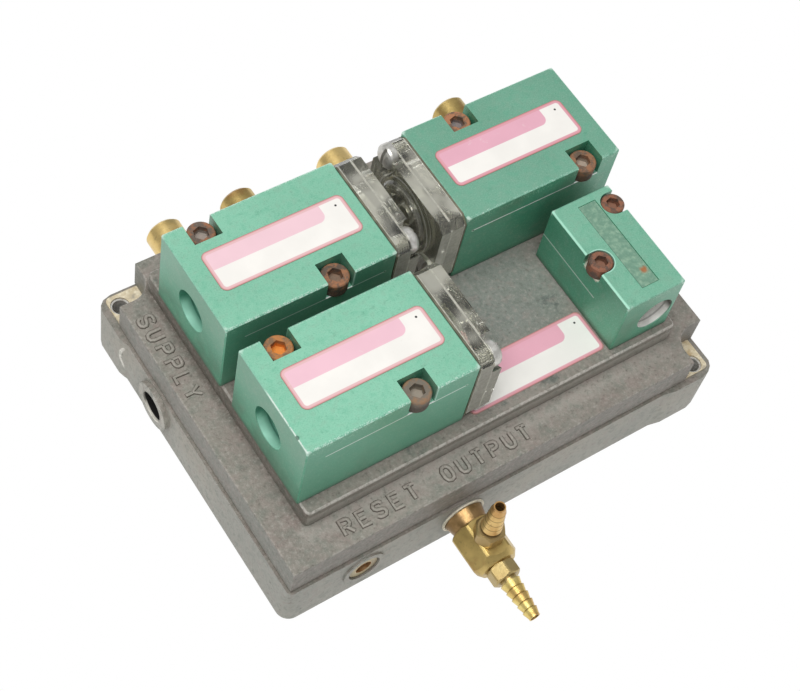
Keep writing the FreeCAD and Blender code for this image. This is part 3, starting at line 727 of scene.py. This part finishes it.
def module_wear(green):
    """A front bore and left screw pocket in undyed metal, the bore with painted light and shade, and a
    painted highlight on the left edge.
    """
    low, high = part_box("module_body")
    depth = green.y - low[1]
    # Painted light and shade in the bore: bright lower left, dark upper right, darker groove and depth.
    slant = (green.x - place_x(MODULE_X)) + (green.z - BED_TOP - MODULE_BORE_UP)
    bare_lit_and_shaded = green.mix(slant.step(0.003, 0.0065), (0.95, 0.94, 0.9), (0.12, 0.115, 0.1))
    for dull in (depth.near(MODULE_GROOVE, 0.0004, 0.0001) * 0.6, depth.step(0.0046, 0.0052) * 0.5):
        bare_lit_and_shaded = green.mix(dull, bare_lit_and_shaded, (0.3, 0.29, 0.27))
    bore = green.away(x=place_x(MODULE_X), z=BED_TOP + MODULE_BORE_UP).step(0.00612, 0.00604)
    green.stain(bore * depth.step(0.0001, 0.0004), bare_lit_and_shaded)

    top_gap = high[2] - green.z
    # Painted highlight along the top left edge.
    edge = (green.x - low[0]).step(0.0007, 0.00025) * top_gap.step(0.0007, 0.00025)
    green.stain(edge * 0.85, (0.5, 0.92, 0.72))
    front = depth.step(0.0003, 0.0001) * green.z.step(low[2] + 0.004, low[2] + 0.012)
    green.stain(front * 0.22, (0.13, 0.2, 0.14))
    pocket = green.above(*MODULE_SCREWS[0])
    green.stain(pocket.step(0.0042, 0.00395) * top_gap.step(0.0007, 0.0002) * 0.7, (0.5, 0.88, 0.72))
    well = pocket.step(0.0041, 0.0039) * top_gap.between(0.0003, 0.0008, 0.0046, 0.005)
    green.stain(well * (green.noise(500.0).step(0.3, 0.5) * 0.5 + 0.5), (0.66, 0.64, 0.52))


low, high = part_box("module_body")
module_span = ("y", low[1] + 12.0 * MM, high[1] - 0.2 * MM)
green_anodised("module", MODULE_LINE_Z, module_span, None, 0.85, 0.88, module_wear)
print("small module, line from", round(module_span[1] / MM, 2), "to", round(module_span[2] / MM, 2))

# %% [markdown]
# ## Printed labels
# Each label is a plastic film with a pink border, a pink band with a round end, and a plain white field with
# one dark dot. A thin dark line at the very edge is the film's shadow, painted. Both shapes are rounded
# rectangles, whose distance to their edge is one short sum, so no picture has to be drawn.


# %% Printed labels
def rounded_gap(film, x0, x1, y0, y1, corner):
    """Distance to the edge of a rounded rectangle, negative inside."""
    dx = (film.x - (x0 + x1) / 2).size() - ((x1 - x0) / 2 - corner)
    dy = (film.y - (y0 + y1) / 2).size() - ((y1 - y0) / 2 - corner)
    px = dx.high(0.0)
    py = dy.high(0.0)
    return (px * px + py * py).root() + dx.high(dy).low(0.0) - corner


LABEL_WHITE = (0.76, 0.74, 0.7)
LABEL_CORNER = 2.0 * MM
BAND_CORNER = 2.4 * MM
BAND_PAST = 6 * MM
DOT_IN = (3.2 * MM, 3.0 * MM)


def printed_label(node_name, band_end, band_low, border, band_pink):
    """A label whose band runs in from the left and the back, to band_end and down to band_low."""
    low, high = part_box(node_name)
    film = Finish("print_" + node_name)
    fade = film.noise(90.0, 3.0)
    speck = film.noise(1100.0, 3.0, 0.7)
    scuff = film.noise(420.0, 4.0, 0.7)
    edge = rounded_gap(film, low[0], high[0], low[1], high[1], LABEL_CORNER)
    band = rounded_gap(film, low[0] - BAND_PAST, low[0] + band_end,
                       low[1] + band_low, high[1] + BAND_PAST, BAND_CORNER)
    film.color = film.mix(fade.step(0.35, 0.7), LABEL_WHITE, scaled(LABEL_WHITE, 1.06))
    pink = film.mix(fade.step(0.3, 0.7), band_pink, scaled(band_pink, 1.05))
    film.stain(band.step(0.00012, -0.00012), pink)
    film.stain(edge.step(-0.00125, -0.00095), border)
    film.stain(edge.step(-0.0006, -0.00035) * 0.55, (0.6, 0.22, 0.22))
    # Painted shadow: a thin dark line at the film's outer edge.
    film.stain(edge.step(-0.00028, -0.00012) * 0.65, (0.22, 0.14, 0.1))
    dot = film.away(x=high[0] - DOT_IN[0], y=high[1] - DOT_IN[1])
    film.stain(dot.step(0.00042, 0.00028), (0.03, 0.03, 0.03))
    film.stain(scuff.step(0.64, 0.74) * 0.25, LABEL_WHITE)
    film.stain(speck.step(0.68, 0.8) * 0.35, (0.42, 0.33, 0.25))
    film.surface(Roughness=0.4, Normal=film.bump(fade + scuff * 0.2, 0.06, 0.0003))
    dress(film.material, node_name)


for name, band_end, band_low, border, band_pink in (
        ("valve1_label", 36.5, 7.2, (0.68, 0.43, 0.44), (0.73, 0.46, 0.53)),
        ("valve2_label", 36.5, 7.2, (0.68, 0.43, 0.44), (0.73, 0.5, 0.55)),
        ("valve3_label", 36.5, 7.2, (0.64, 0.31, 0.36), (0.67, 0.36, 0.44)),
        ("bed_label", 38.3, 7.6, (0.66, 0.32, 0.37), (0.7, 0.36, 0.44))):
    printed_label(name, band_end * MM, band_low * MM, border, band_pink)
    print(name, "band to", band_end)

# %% [markdown]
# ## Clear plastic pilot plates
# The plates at the valve ends are acrylic, a little yellowed by oil mist. Real transmission shows the screws
# inside them, which a half transparent colour would not bend. Milled faces and turned steps are frosted, the
# edges carry painted highlights, the tops patches of painted reflection, and the tapped holes painted stripes
# of the thread seen through them: one mask mixes pale matt plastic over the clear one at all of these.

# %% Clear plastic
PILOT_UP = 15.05 * MM
PILOT_STEPS = (12.0 * MM, 9.2 * MM)
CAP_SCREWS = ((3.8, 25.2), (30.2, 4.1))
CAP_THREAD_PITCH = 0.79 * MM
HOLE_LIFT = 0.45 * MM


def cap_screw_axis(valve, across, up):
    """The y and z of a cap screw, from its place across and up a valve in millimetres."""
    return (from_corner(valve, 0, across * MM)[1], BED_TOP + up * MM)


def aged_acrylic(valve, node_name):
    """Clear plastic, with pale frosting on its milled faces and turned steps, painted highlights on its
    edges, painted reflection on its tops, and painted thread stripes in its tapped holes.
    """
    body_low, body_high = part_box(valve + "_body")
    clear = Finish("acrylic_" + node_name)
    haze = clear.noise(160.0, 4.0)
    scratch = clear.noise(900.0, 3.0, 0.7)
    clear.color = clear.mix(haze.step(0.35, 0.7), (0.86, 0.86, 0.75), (0.96, 0.96, 0.88))
    clear.surface(Roughness=haze * 0.07 + 0.01, Transmission_Weight=0.95, IOR=1.49,
                  Normal=clear.bump(haze + scratch * 0.2, 0.15, 0.0004))

    second = box_gaps(clear, *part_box(node_name))[2]
    # Painted highlights along the edges and patches of painted reflection on the tops.
    edge = second.step(0.0005, 0.00012) * (scratch * 0.5 + 0.3)
    sheen = clear.facing("z").step(0.75, 0.95) * clear.noise(75.0, 2.0).step(0.42, 0.62) * 0.42
    reach = clear.away(y=(body_low[1] + body_high[1]) / 2, z=BED_TOP + PILOT_UP)
    arcs = reach.near(PILOT_STEPS[0], 0.0004, 0.0001)
    arcs = arcs.high(reach.near(PILOT_STEPS[1], 0.0003, 0.0001) * 0.6) * 0.45
    milled = clear.facing("y").size().step(0.8, 0.95) * (scratch * 0.3 + 0.22)
    frost_and_painted_light = edge.high(sheen).high(arcs).high(milled)
    # Painted stripes of the cap screw's thread seen through the plastic, lifted where the plastic bends the
    # view.
    for across, up in CAP_SCREWS:
        y, z = cap_screw_axis(valve, across, up)
        hole = clear.away(y=y, z=z + HOLE_LIFT).step(0.003, 0.0027)
        turns = (clear.x / CAP_THREAD_PITCH).rest().between(0.35, 0.5, 0.8, 0.95)
        frost_and_painted_light = frost_and_painted_light.high(hole * turns * 0.75)

    pale = clear.node("ShaderNodeBsdfPrincipled", {}, {"Base Color": (0.67, 0.66, 0.57), "Roughness": 0.3})
    blend = clear.node("ShaderNodeMixShader", {}, [frost_and_painted_light, clear.shader.outputs[0], pale])
    clear.feed(clear.tree.nodes["Material Output"].inputs["Surface"], blend)
    dress(clear.material, node_name)


for valve in VALVES:
    aged_acrylic(valve, valve + "_pilot_plate")
    aged_acrylic(valve, valve + "_pilot_cap")
    print(valve, "clear plates")

# %% [markdown]
# ## Diaphragms
# The diaphragm behind each clear plate is a thin dark olive rubber sheet.

# %% Diaphragms
tan = Finish("tan_diaphragm")
tan.color = tan.mix(tan.noise(300.0, 4.0).step(0.35, 0.7), (0.085, 0.085, 0.055), (0.17, 0.16, 0.11))
tan.surface(Roughness=0.5)
dress(tan.material, *[valve + "_diaphragm" for valve in VALVES])
print("diaphragms")

# %% [markdown]
# ## Brass
# The fittings are turned brass gone olive, with brown stains. The tee's neck was heated and is copper red.
# The hose barb at the end has been handled, and stays bright yellow. The grooves between the ridges of both
# barbs are darkened with painted shade. The ridges are evenly spaced, so the decimal part of a length gives
# all grooves at once.

# %% Brass
RESET_X = 24.6
RIDGE_PITCH = 2.35 * MM


def copper_neck(brass):
    """The tee's neck is copper red as far as the block."""
    neck = brass.y.step(place_y(-5.6), place_y(-4.6))
    copper = brass.mix(brass.noise(260.0).step(0.4, 0.6), (0.15, 0.075, 0.032), (0.31, 0.18, 0.085))
    brass.stain(neck * 0.8, copper)


def lit_bush_bore(brass):
    """The reset bush shows warm brown brass inside its hole, painted lighter against the hole's shade."""
    # Painted light inside the bush's hole.
    inside = brass.away(x=place_x(RESET_X), z=PORT_HEIGHT).step(0.00262, 0.00252)
    brass.stain(inside * 0.8, (0.72, 0.46, 0.24))


def ridge_groove_shade(along, collar, length):
    """A dull collar, and painted shade in the grooves from there to the plain tip."""
    outward = -1.0 if along == "y" else 1.0
    strength = 0.4 if along == "y" else 0.85

    def darkening(brass):
        place = (getattr(brass, along) - collar) * outward
        share = (place / RIDGE_PITCH).rest()
        # Painted shade in the grooves between the ridges.
        groove = share.step(0.86, 0.98).high(share.step(0.12, 0.03))
        groove = groove * place.between(-0.0006, 0.0, length - 0.0006, length - 0.0001)
        brass.stain(place.step(0.0, -0.0004) * 0.85, (0.39, 0.29, 0.13))
        brass.stain(groove * strength, (0.15, 0.085, 0.025))

    return darkening


def stained_brass(name, dull, bright, stain, stain_share, extra=None):
    """Brass between a dull and a bright tone, with broad stains and fine brown specks."""
    brass = Finish(name)
    broad = brass.noise(120.0, 4.0)
    fine = brass.noise(800.0, 3.0, 0.65)
    brass.color = brass.mix(broad.step(0.4, 0.65), dull, bright)
    brass.stain(broad.step(0.5, 0.34) * 0.7, stain)
    brass.stain(fine.step(0.56, 0.75) * stain_share, (0.17, 0.115, 0.045))
    if extra is not None:
        extra(brass)
    relief = brass.bump(fine, 0.12, 0.0003)
    return brass.surface(Metallic=0.85, Roughness=fine * 0.22 + 0.24, Normal=relief)


print("ridges every", RIDGE_PITCH / MM)

# %% [markdown]
# ## Brass fittings
# Each fitting has its own age: the reset bush is dirty, the tee olive, the two barbs
# brighter, and the four couplings at the back are olive or gold in turn.

# %% Brass fittings
OLIVE = ((0.44, 0.325, 0.115), (0.6, 0.44, 0.16), (0.42, 0.22, 0.08), 0.5)
GOLD = ((0.72, 0.52, 0.2), (0.84, 0.64, 0.28), (0.5, 0.4, 0.18), 0.4)
DIRTY = ((0.27, 0.225, 0.13), (0.36, 0.3, 0.16), (0.24, 0.15, 0.08), 0.8)
BRIGHT = ((0.72, 0.54, 0.17), (0.9, 0.76, 0.32), (0.6, 0.36, 0.13), 0.25)
WARM = ((0.62, 0.4, 0.15), (0.76, 0.54, 0.22), (0.52, 0.28, 0.1), 0.4)
RUN_COLLAR = place_y(-24.1)
BRANCH_COLLAR = 22.75 * MM

run_length = RUN_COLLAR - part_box("tee_barb_run")[0][1]
branch_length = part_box("tee_barb_branch")[1][2] - BRANCH_COLLAR
run_groove_shade = ridge_groove_shade("y", RUN_COLLAR, run_length)
branch_groove_shade = ridge_groove_shade("z", BRANCH_COLLAR, branch_length)
dress(stained_brass("dirty_brass", *DIRTY, lit_bush_bore), "reset_bush")
dress(stained_brass("tee_brass", *OLIVE, copper_neck), "tee_body")
dress(stained_brass("bright_brass", *BRIGHT, run_groove_shade), "tee_barb_run")
dress(stained_brass("warm_brass", *WARM, branch_groove_shade), "tee_barb_branch")
dress(stained_brass("gold_brass", *GOLD), "rear_coupling_1", "rear_coupling_3")
dress(stained_brass("olive_brass", *OLIVE), "rear_coupling_2", "rear_coupling_4")
print("barbs", round(run_length / MM, 2), round(branch_length / MM, 2))

# %% [markdown]
# ## Rusty screws
# The black oxide on the socket screws has gone. Most are grey brown with rusty rims, and one on the front
# valve has a socket full of orange rust. Each socket is painted lighter than its shade: pale floors in most,
# a bright orange in that one. Two screws share one node, so each look is laid in a circle around its own
# screw.


# %% Rusty screws
def rusty_screws(node_name, looks):
    """Each look is a place, a plain colour, a rust colour, the rust's limit and the socket's colour, painted
    lighter than the socket's shade.
    """
    rust = Finish("screws_" + node_name.split("_")[0])
    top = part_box(node_name)[1][2]
    patch = rust.noise(420.0, 5.0, 0.65)
    fine = rust.noise(1600.0, 3.0, 0.7)
    rust.color = rust.mix(patch.step(0.38, 0.58), (0.095, 0.058, 0.042), (0.25, 0.085, 0.04))
    for place, plain, red, limit, socket in looks:
        away = rust.above(*place)
        look = rust.mix(patch.step(limit, limit + 0.16), plain, red)
        rim = away.step(0.003, 0.0036) * rust.z.step(top - 0.0012, top - 0.0004)
        look = rust.mix(rim * patch.step(0.35, 0.6) * 0.6, look, red)
        # Painted light: the socket's inside gets its own lighter colour against the socket's shade.
        inside = away.step(0.0027, 0.0024) * rust.z.step(top - 0.001, top - 0.0022)
        look = rust.mix(inside * (fine * 0.5 + 0.55), look, socket)
        flank = away.step(0.0033, 0.0037) * rust.z.step(top - 0.0008, top - 0.003)
        look = rust.mix(flank * 0.75, look, (0.045, 0.032, 0.025))
        rust.stain(away.step(0.0062, 0.0058), look)
    rust.stain(fine.step(0.52, 0.75) * 0.35, (0.27, 0.21, 0.165))
    rust.surface(Metallic=0.1, Roughness=0.72, Normal=rust.bump(patch + fine, 0.45, 0.0003))
    dress(rust.material, node_name)


MODULE_LOOK = ((0.105, 0.063, 0.045), (0.26, 0.105, 0.058), 0.42, (0.24, 0.12, 0.075))
SCREW_LOOKS = {
    "valve1_body_screws": (
        ((20.15, 46.3), (0.2, 0.115, 0.06), (0.44, 0.175, 0.05), 0.4, (0.8, 0.28, 0.028)),
        ((45.0, 18.3), (0.165, 0.14, 0.11), (0.26, 0.15, 0.08), 0.5, (0.34, 0.3, 0.24))),
    "valve2_body_screws": (
        ((20.3, 86.55), (0.12, 0.09, 0.07), (0.29, 0.12, 0.055), 0.44, (0.36, 0.32, 0.28)),
        ((45.15, 58.55), (0.1, 0.07, 0.05), (0.32, 0.14, 0.065), 0.44, (0.22, 0.15, 0.1))),
    "valve3_body_screws": (
        ((128.8, 58.55), (0.13, 0.085, 0.058), (0.28, 0.13, 0.065), 0.42, (0.42, 0.36, 0.29)),
        ((103.95, 86.55), (0.15, 0.095, 0.062), (0.4, 0.17, 0.08), 0.38, (0.19, 0.2, 0.21))),
    "module_screws": [(place, *MODULE_LOOK) for place in MODULE_SCREWS],
    "casting_screws": (),
}
for name, looks in SCREW_LOOKS.items():
    rusty_screws(name, looks)
    print(name, len(looks), "looks")

# %% [markdown]
# ## Steel and rubber inside
# Sleeves, spools and seats are plated steel, and seals and port gaskets are black
# rubber. Oil keeps inner parts clean, so two plain finishes are enough.

# %% Steel and rubber
steel = Finish("plated_steel")
fine = steel.noise(900.0, 3.0, 0.6)
steel.color = steel.mix(fine.step(0.4, 0.7), (0.6, 0.6, 0.57), (0.74, 0.74, 0.72))
plated = steel.surface(Metallic=1.0, Roughness=fine * 0.2 + 0.2)
rubber = Finish("moulded_rubber")
rubber.color = rubber.mix(rubber.noise(400.0), (0.018, 0.018, 0.017), (0.035, 0.034, 0.03))
black = rubber.surface(Roughness=0.6)
for valve in VALVES:
    dress(plated, valve + "_sleeve", valve + "_spring", valve + "_spool", valve + "_cap_screws")
    dress(black, valve + "_port_gasket", valve + "_sleeve_seals", valve + "_spool_seals")
dress(plated, "module_front_seat", "module_rear_seat", "module_shuttle")
dress(black, "module_port_gasket")
print("steel and rubber")

# %% [markdown]
# ## Stamped field
# The small module has a plain milled field on top. It is duller than the body,
# rough, and has one spot of rust, whose outline is made ragged by adding the grain
# to its distance.

# %% Stamped field
low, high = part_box("module_field")
field = Finish("stamped_field")
fine = field.noise(650.0, 4.0, 0.65)
field.color = field.mix(fine.step(0.4, 0.7), (0.165, 0.31, 0.225), (0.27, 0.43, 0.31))
rust_spot = field.away(x=high[0] - 1.6 * MM, y=low[1] + 4.6 * MM) + fine * 0.002
field.stain(rust_spot.step(0.0027, 0.0014) * 0.85, (0.42, 0.13, 0.035))
field.surface(Roughness=0.5, Metallic=0.35, Normal=field.bump(fine, 0.6, 0.0004))
dress(field.material, "module_field")
print("stamped field")

# %% [markdown]
# ## Shapes of a cap screw
# The pan head screws show through the clear plastic, thread and all. Head and shank
# are half an outline spun full circle. A thread is a small triangle carried round
# the shank: spin with a step along the axis sweeps it into a helix.

# %% Shapes of a cap screw
THREAD_STEPS = 24
THREAD_TURNS = 14
THREAD_START = 0.3 * MM
THREAD_SUNK = 0.06 * MM
SHANK_RADIUS = 1.62 * MM
CREST_RADIUS = 1.99 * MM
HEAD_HEIGHT = 3.5 * MM
HEAD_STEPS = 48
HEAD_OUTLINE = ((3.5, 3.8), (3.35, 3.9), (1.75, 3.9), (1.1, 3.62), (0.55, 3.0), (0.2, 2.0), (0.05, 0.9),
                (0.05, 0.0))


def screw_thread(shape, centre):
    """One helical ridge about the x axis through centre."""
    foot = SHANK_RADIUS - THREAD_SUNK
    corners = [(THREAD_START, foot), (THREAD_START + CAP_THREAD_PITCH * 0.42, CREST_RADIUS),
               (THREAD_START + CAP_THREAD_PITCH * 0.84, foot)]
    verts = [shape.verts.new((x, centre[0], centre[1] + r)) for x, r in corners]
    edges = [shape.edges.new((verts[i], verts[(i + 1) % 3])) for i in range(3)]
    first = shape.faces.new(verts)
    bmesh.ops.spin(shape, geom=verts + edges + [first], cent=(THREAD_START, *centre), axis=(1, 0, 0),
                   dvec=(CAP_THREAD_PITCH / THREAD_STEPS, 0, 0), angle=2 * math.pi * THREAD_TURNS,
                   steps=THREAD_STEPS * THREAD_TURNS)


def turned_screw(shape, length, centre):
    """Head and shank about the x axis through centre, with the head's top at length."""
    outline = [(0.0, 0.0), (0.0, SHANK_RADIUS), (length - HEAD_HEIGHT, SHANK_RADIUS)]
    outline += [(length - back * MM, radius * MM) for back, radius in HEAD_OUTLINE]
    verts = [shape.verts.new((x, centre[0], centre[1] + r)) for x, r in outline]
    edges = [shape.edges.new((a, b)) for a, b in zip(verts, verts[1:])]
    bmesh.ops.spin(shape, geom=verts + edges, cent=(0, *centre), axis=(1, 0, 0), dvec=(0, 0, 0),
                   angle=2 * math.pi, steps=HEAD_STEPS, use_merge=True)


print("thread steps", THREAD_STEPS * THREAD_TURNS)

# %% [markdown]
# ## Slots
# A thin box cut through the head leaves the slot. A boolean modifier does the cut,
# and its result is kept as a plain mesh, so that nothing depends on the cutter.

# %% Slots
SLOT_SIZE = (2.4 * MM, 1.1 * MM, 9 * MM)


def cut_slots(piece, centres):
    """Cut a slot through each of the centres."""
    blocks = bmesh.new()
    for centre in centres:
        block = Matrix.Translation(centre) @ Matrix.Diagonal((*SLOT_SIZE, 1))
        bmesh.ops.create_cube(blocks, size=1.0, matrix=block)
    cutter = add_object("slot_cutter", mesh_from("slot_cutter", blocks))
    carve = piece.modifiers.new("slot", "BOOLEAN")
    carve.object = cutter
    carve.operation = "DIFFERENCE"
    carve.solver = "EXACT"
    bpy.context.view_layer.update()
    done = bpy.data.meshes.new_from_object(piece.evaluated_get(bpy.context.evaluated_depsgraph_get()))
    piece.modifiers.clear()
    piece.data = done
    bpy.data.objects.remove(cutter)


print("slot", round(SLOT_SIZE[1] / MM, 2), "wide")

# %% [markdown]
# ## Cap screws
# Both screws of a valve make one piece, which replaces the plain ones of the CAD
# model. They are built with the head towards +x, and mirrored for the turned valve.
# A mirror turns a shape inside out, so its faces are reversed after it.

# %% Cap screws
BODY = "manifold"

zinc = Finish("pale_zinc")
fine = zinc.noise(700.0, 3.0, 0.6)
zinc.color = zinc.mix(fine.step(0.4, 0.7), (0.56, 0.55, 0.51), (0.74, 0.73, 0.7))
pale_steel = zinc.surface(Metallic=0.75, Roughness=fine * 0.2 + 0.25)


def cap_screw_pair(valve):
    """Both pan head screws of one valve, at the places of the CAD ones."""
    low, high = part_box(valve + "_cap_screws")
    axes = [cap_screw_axis(valve, across, up) for across, up in CAP_SCREWS]
    shape = bmesh.new()
    for centre in axes:
        turned_screw(shape, high[0] - low[0], centre)
        screw_thread(shape, centre)
    bmesh.ops.remove_doubles(shape, verts=shape.verts, dist=1e-7)
    bmesh.ops.recalc_face_normals(shape, faces=shape.faces)
    if is_turned(valve):
        bmesh.ops.scale(shape, vec=(-1, 1, 1), verts=shape.verts)
        bmesh.ops.translate(shape, vec=(high[0], 0, 0), verts=shape.verts)
        bmesh.ops.reverse_faces(shape, faces=shape.faces)
    else:
        bmesh.ops.translate(shape, vec=(low[0], 0, 0), verts=shape.verts)
    name = valve + "_threaded_screws"
    piece = add_object(name, mesh_from(name, shape))
    piece.data.materials.append(pale_steel)
    head_top = low[0] if is_turned(valve) else high[0]
    cut_slots(piece, [(head_top, *centre) for centre in axes])
    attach(piece, BODY)
    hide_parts(valve + "_cap_screws")
    return piece


for valve in VALVES:
    print(valve, "cap screws", len(cap_screw_pair(valve).data.polygons))

# %% [markdown]
# ## Return springs
# A return spring sits between the valve body and its spool. It is made from the CAD spring's own mesh, so its
# form is the same.

for valve in VALVES:
    spring = add_object(valve + "_return_spring", nodes[valve + "_spring"].data.copy())
    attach(spring, BODY)
    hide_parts(valve + "_spring")
    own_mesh(spring)

# %% [markdown]
# ## Letters
# The port names stand out from the ledge in round bold strokes, as cast metal does.
# A font would give them flat tops and sharp corners, so each letter is a few strokes
# through points of a box one high and one wide.

# %% Letters
BOWL = [(0.6, 1), (0.84, 0.96), (0.97, 0.86), (0.97, 0.64), (0.84, 0.54), (0.6, 0.5)]
LETTERS = {
    "S": [[(0.97, 0.84), (0.8, 0.97), (0.5, 1), (0.2, 0.97), (0.04, 0.82), (0.06, 0.64), (0.25, 0.54),
           (0.75, 0.46), (0.95, 0.36), (0.97, 0.18), (0.8, 0.03), (0.5, 0), (0.2, 0.03), (0.03, 0.16)]],
    "U": [[(0.05, 1), (0.05, 0.28), (0.2, 0.06), (0.5, 0), (0.8, 0.06), (0.95, 0.28), (0.95, 1)]],
    "P": [[(0.06, 0), (0.06, 1), *BOWL, (0.06, 0.5)]],
    "L": [[(0.08, 1), (0.08, 0), (0.92, 0)]],
    "Y": [[(0.02, 1), (0.5, 0.48), (0.98, 1)], [(0.5, 0.48), (0.5, 0)]],
    "R": [[(0.06, 0), (0.06, 1), *BOWL, (0.06, 0.5)], [(0.52, 0.5), (0.97, 0)]],
    "E": [[(0.94, 1), (0.06, 1), (0.06, 0), (0.94, 0)], [(0.06, 0.51), (0.74, 0.51)]],
    "T": [[(0, 1), (1, 1)], [(0.5, 1), (0.5, 0)]],
    "O": [[(0.5, 1), (0.2, 0.94), (0.04, 0.72), (0.04, 0.28), (0.2, 0.06), (0.5, 0), (0.8, 0.06),
           (0.96, 0.28), (0.96, 0.72), (0.8, 0.94), (0.5, 1)]],
}
print("letters", "".join(LETTERS))

# %% [markdown]
# ## Cast words
# A curve with a round section follows the strokes, a little sunk into the ledge, and is then made a mesh and
# pressed slightly flat. The letters are of the same alloy as the lower casting, only paler, with rubbed
# crowns that also carry a painted highlight, and painted shade at their feet.

# %% Cast words
STROKE = 0.76 * MM
LETTER_BASE = LEDGE_TOP - 0.16 * MM
LETTER_GAP = 0.75 * MM
FLATTENED = 0.9
WORDS = (("word_supply", "SUPPLY", spot(1.9, 89.2), (0, -1, 0), 6.0 * MM, 30.5 * MM),
         ("word_reset", "RESET", spot(18.0, 3.1), (1, 0, 0), 5.9 * MM, 25.6 * MM),
         ("word_output", "OUTPUT", spot(50.9, 3.1), (1, 0, 0), 5.9 * MM, 30.4 * MM))


def letter_marks(cast):
    """Rubbed crowns with a painted highlight, and painted shade at the foot of the letters."""
    # Rubbed crowns, with a painted highlight on top.
    crown = cast.z.step(LEDGE_TOP + 0.00034, LEDGE_TOP + 0.00048)
    cast.stain(crown * (cast.grain * 0.6), (0.38, 0.355, 0.315))
    # Painted shade at the foot of the strokes.
    foot = cast.z.between(LEDGE_TOP - 0.002, LEDGE_TOP - 0.001, LEDGE_TOP + 0.00022, LEDGE_TOP + 0.0004)
    cast.stain(foot * 0.85, (0.06, 0.05, 0.038))


def word_strokes(name, text, start, direction, cap_height, length):
    """A curve through every stroke of a word, with tops on the left of its direction."""
    along = Vector(direction).normalized()
    tops = Vector((0, 0, 1)).cross(along)
    pitch = (length + LETTER_GAP) / len(text)
    wide = pitch - LETTER_GAP - 2 * STROKE
    tall = cap_height - 2 * STROKE
    curve = bpy.data.curves.new(name, "CURVE")
    curve.dimensions = "3D"
    curve.bevel_depth = STROKE
    curve.bevel_resolution = 3
    curve.use_fill_caps = True
    for count, letter in enumerate(text):
        for stroke in LETTERS[letter]:
            line = curve.splines.new("POLY")
            line.points.add(len(stroke) - 1)
            for point, (u, v) in zip(line.points, stroke):
                flat = along * (count * pitch + STROKE + u * wide) + tops * (STROKE + v * tall)
                point.co = (*(Vector((*start, LETTER_BASE)) + flat), 1.0)
    return curve


def cast_word(name, *layout):
    """Raise a word on the ledge."""
    source = add_object(name + "_source", word_strokes(name, *layout))
    bpy.context.view_layer.update()
    data = bpy.data.meshes.new_from_object(source)
    bpy.data.objects.remove(source)
    shape = bmesh.new()
    shape.from_mesh(data)
    for v in shape.verts:
        v.co.z = LETTER_BASE + (v.co.z - LETTER_BASE) * FLATTENED
    bmesh.ops.recalc_face_normals(shape, faces=shape.faces)
    for face in shape.faces:
        face.smooth = True
    shape.to_mesh(data)
    shape.free()
    data.materials.clear()
    data.materials.append(word_alloy)
    piece = add_object(name, data)
    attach(piece, BODY)
    return piece


words = CastAlloy("cast_alloy_words", 1.2)
wall_marks(words)
words.weather()
letter_marks(words)
word_alloy = words.done()
for word in WORDS:
    print(word[0], len(cast_word(*word).data.polygons), "faces")
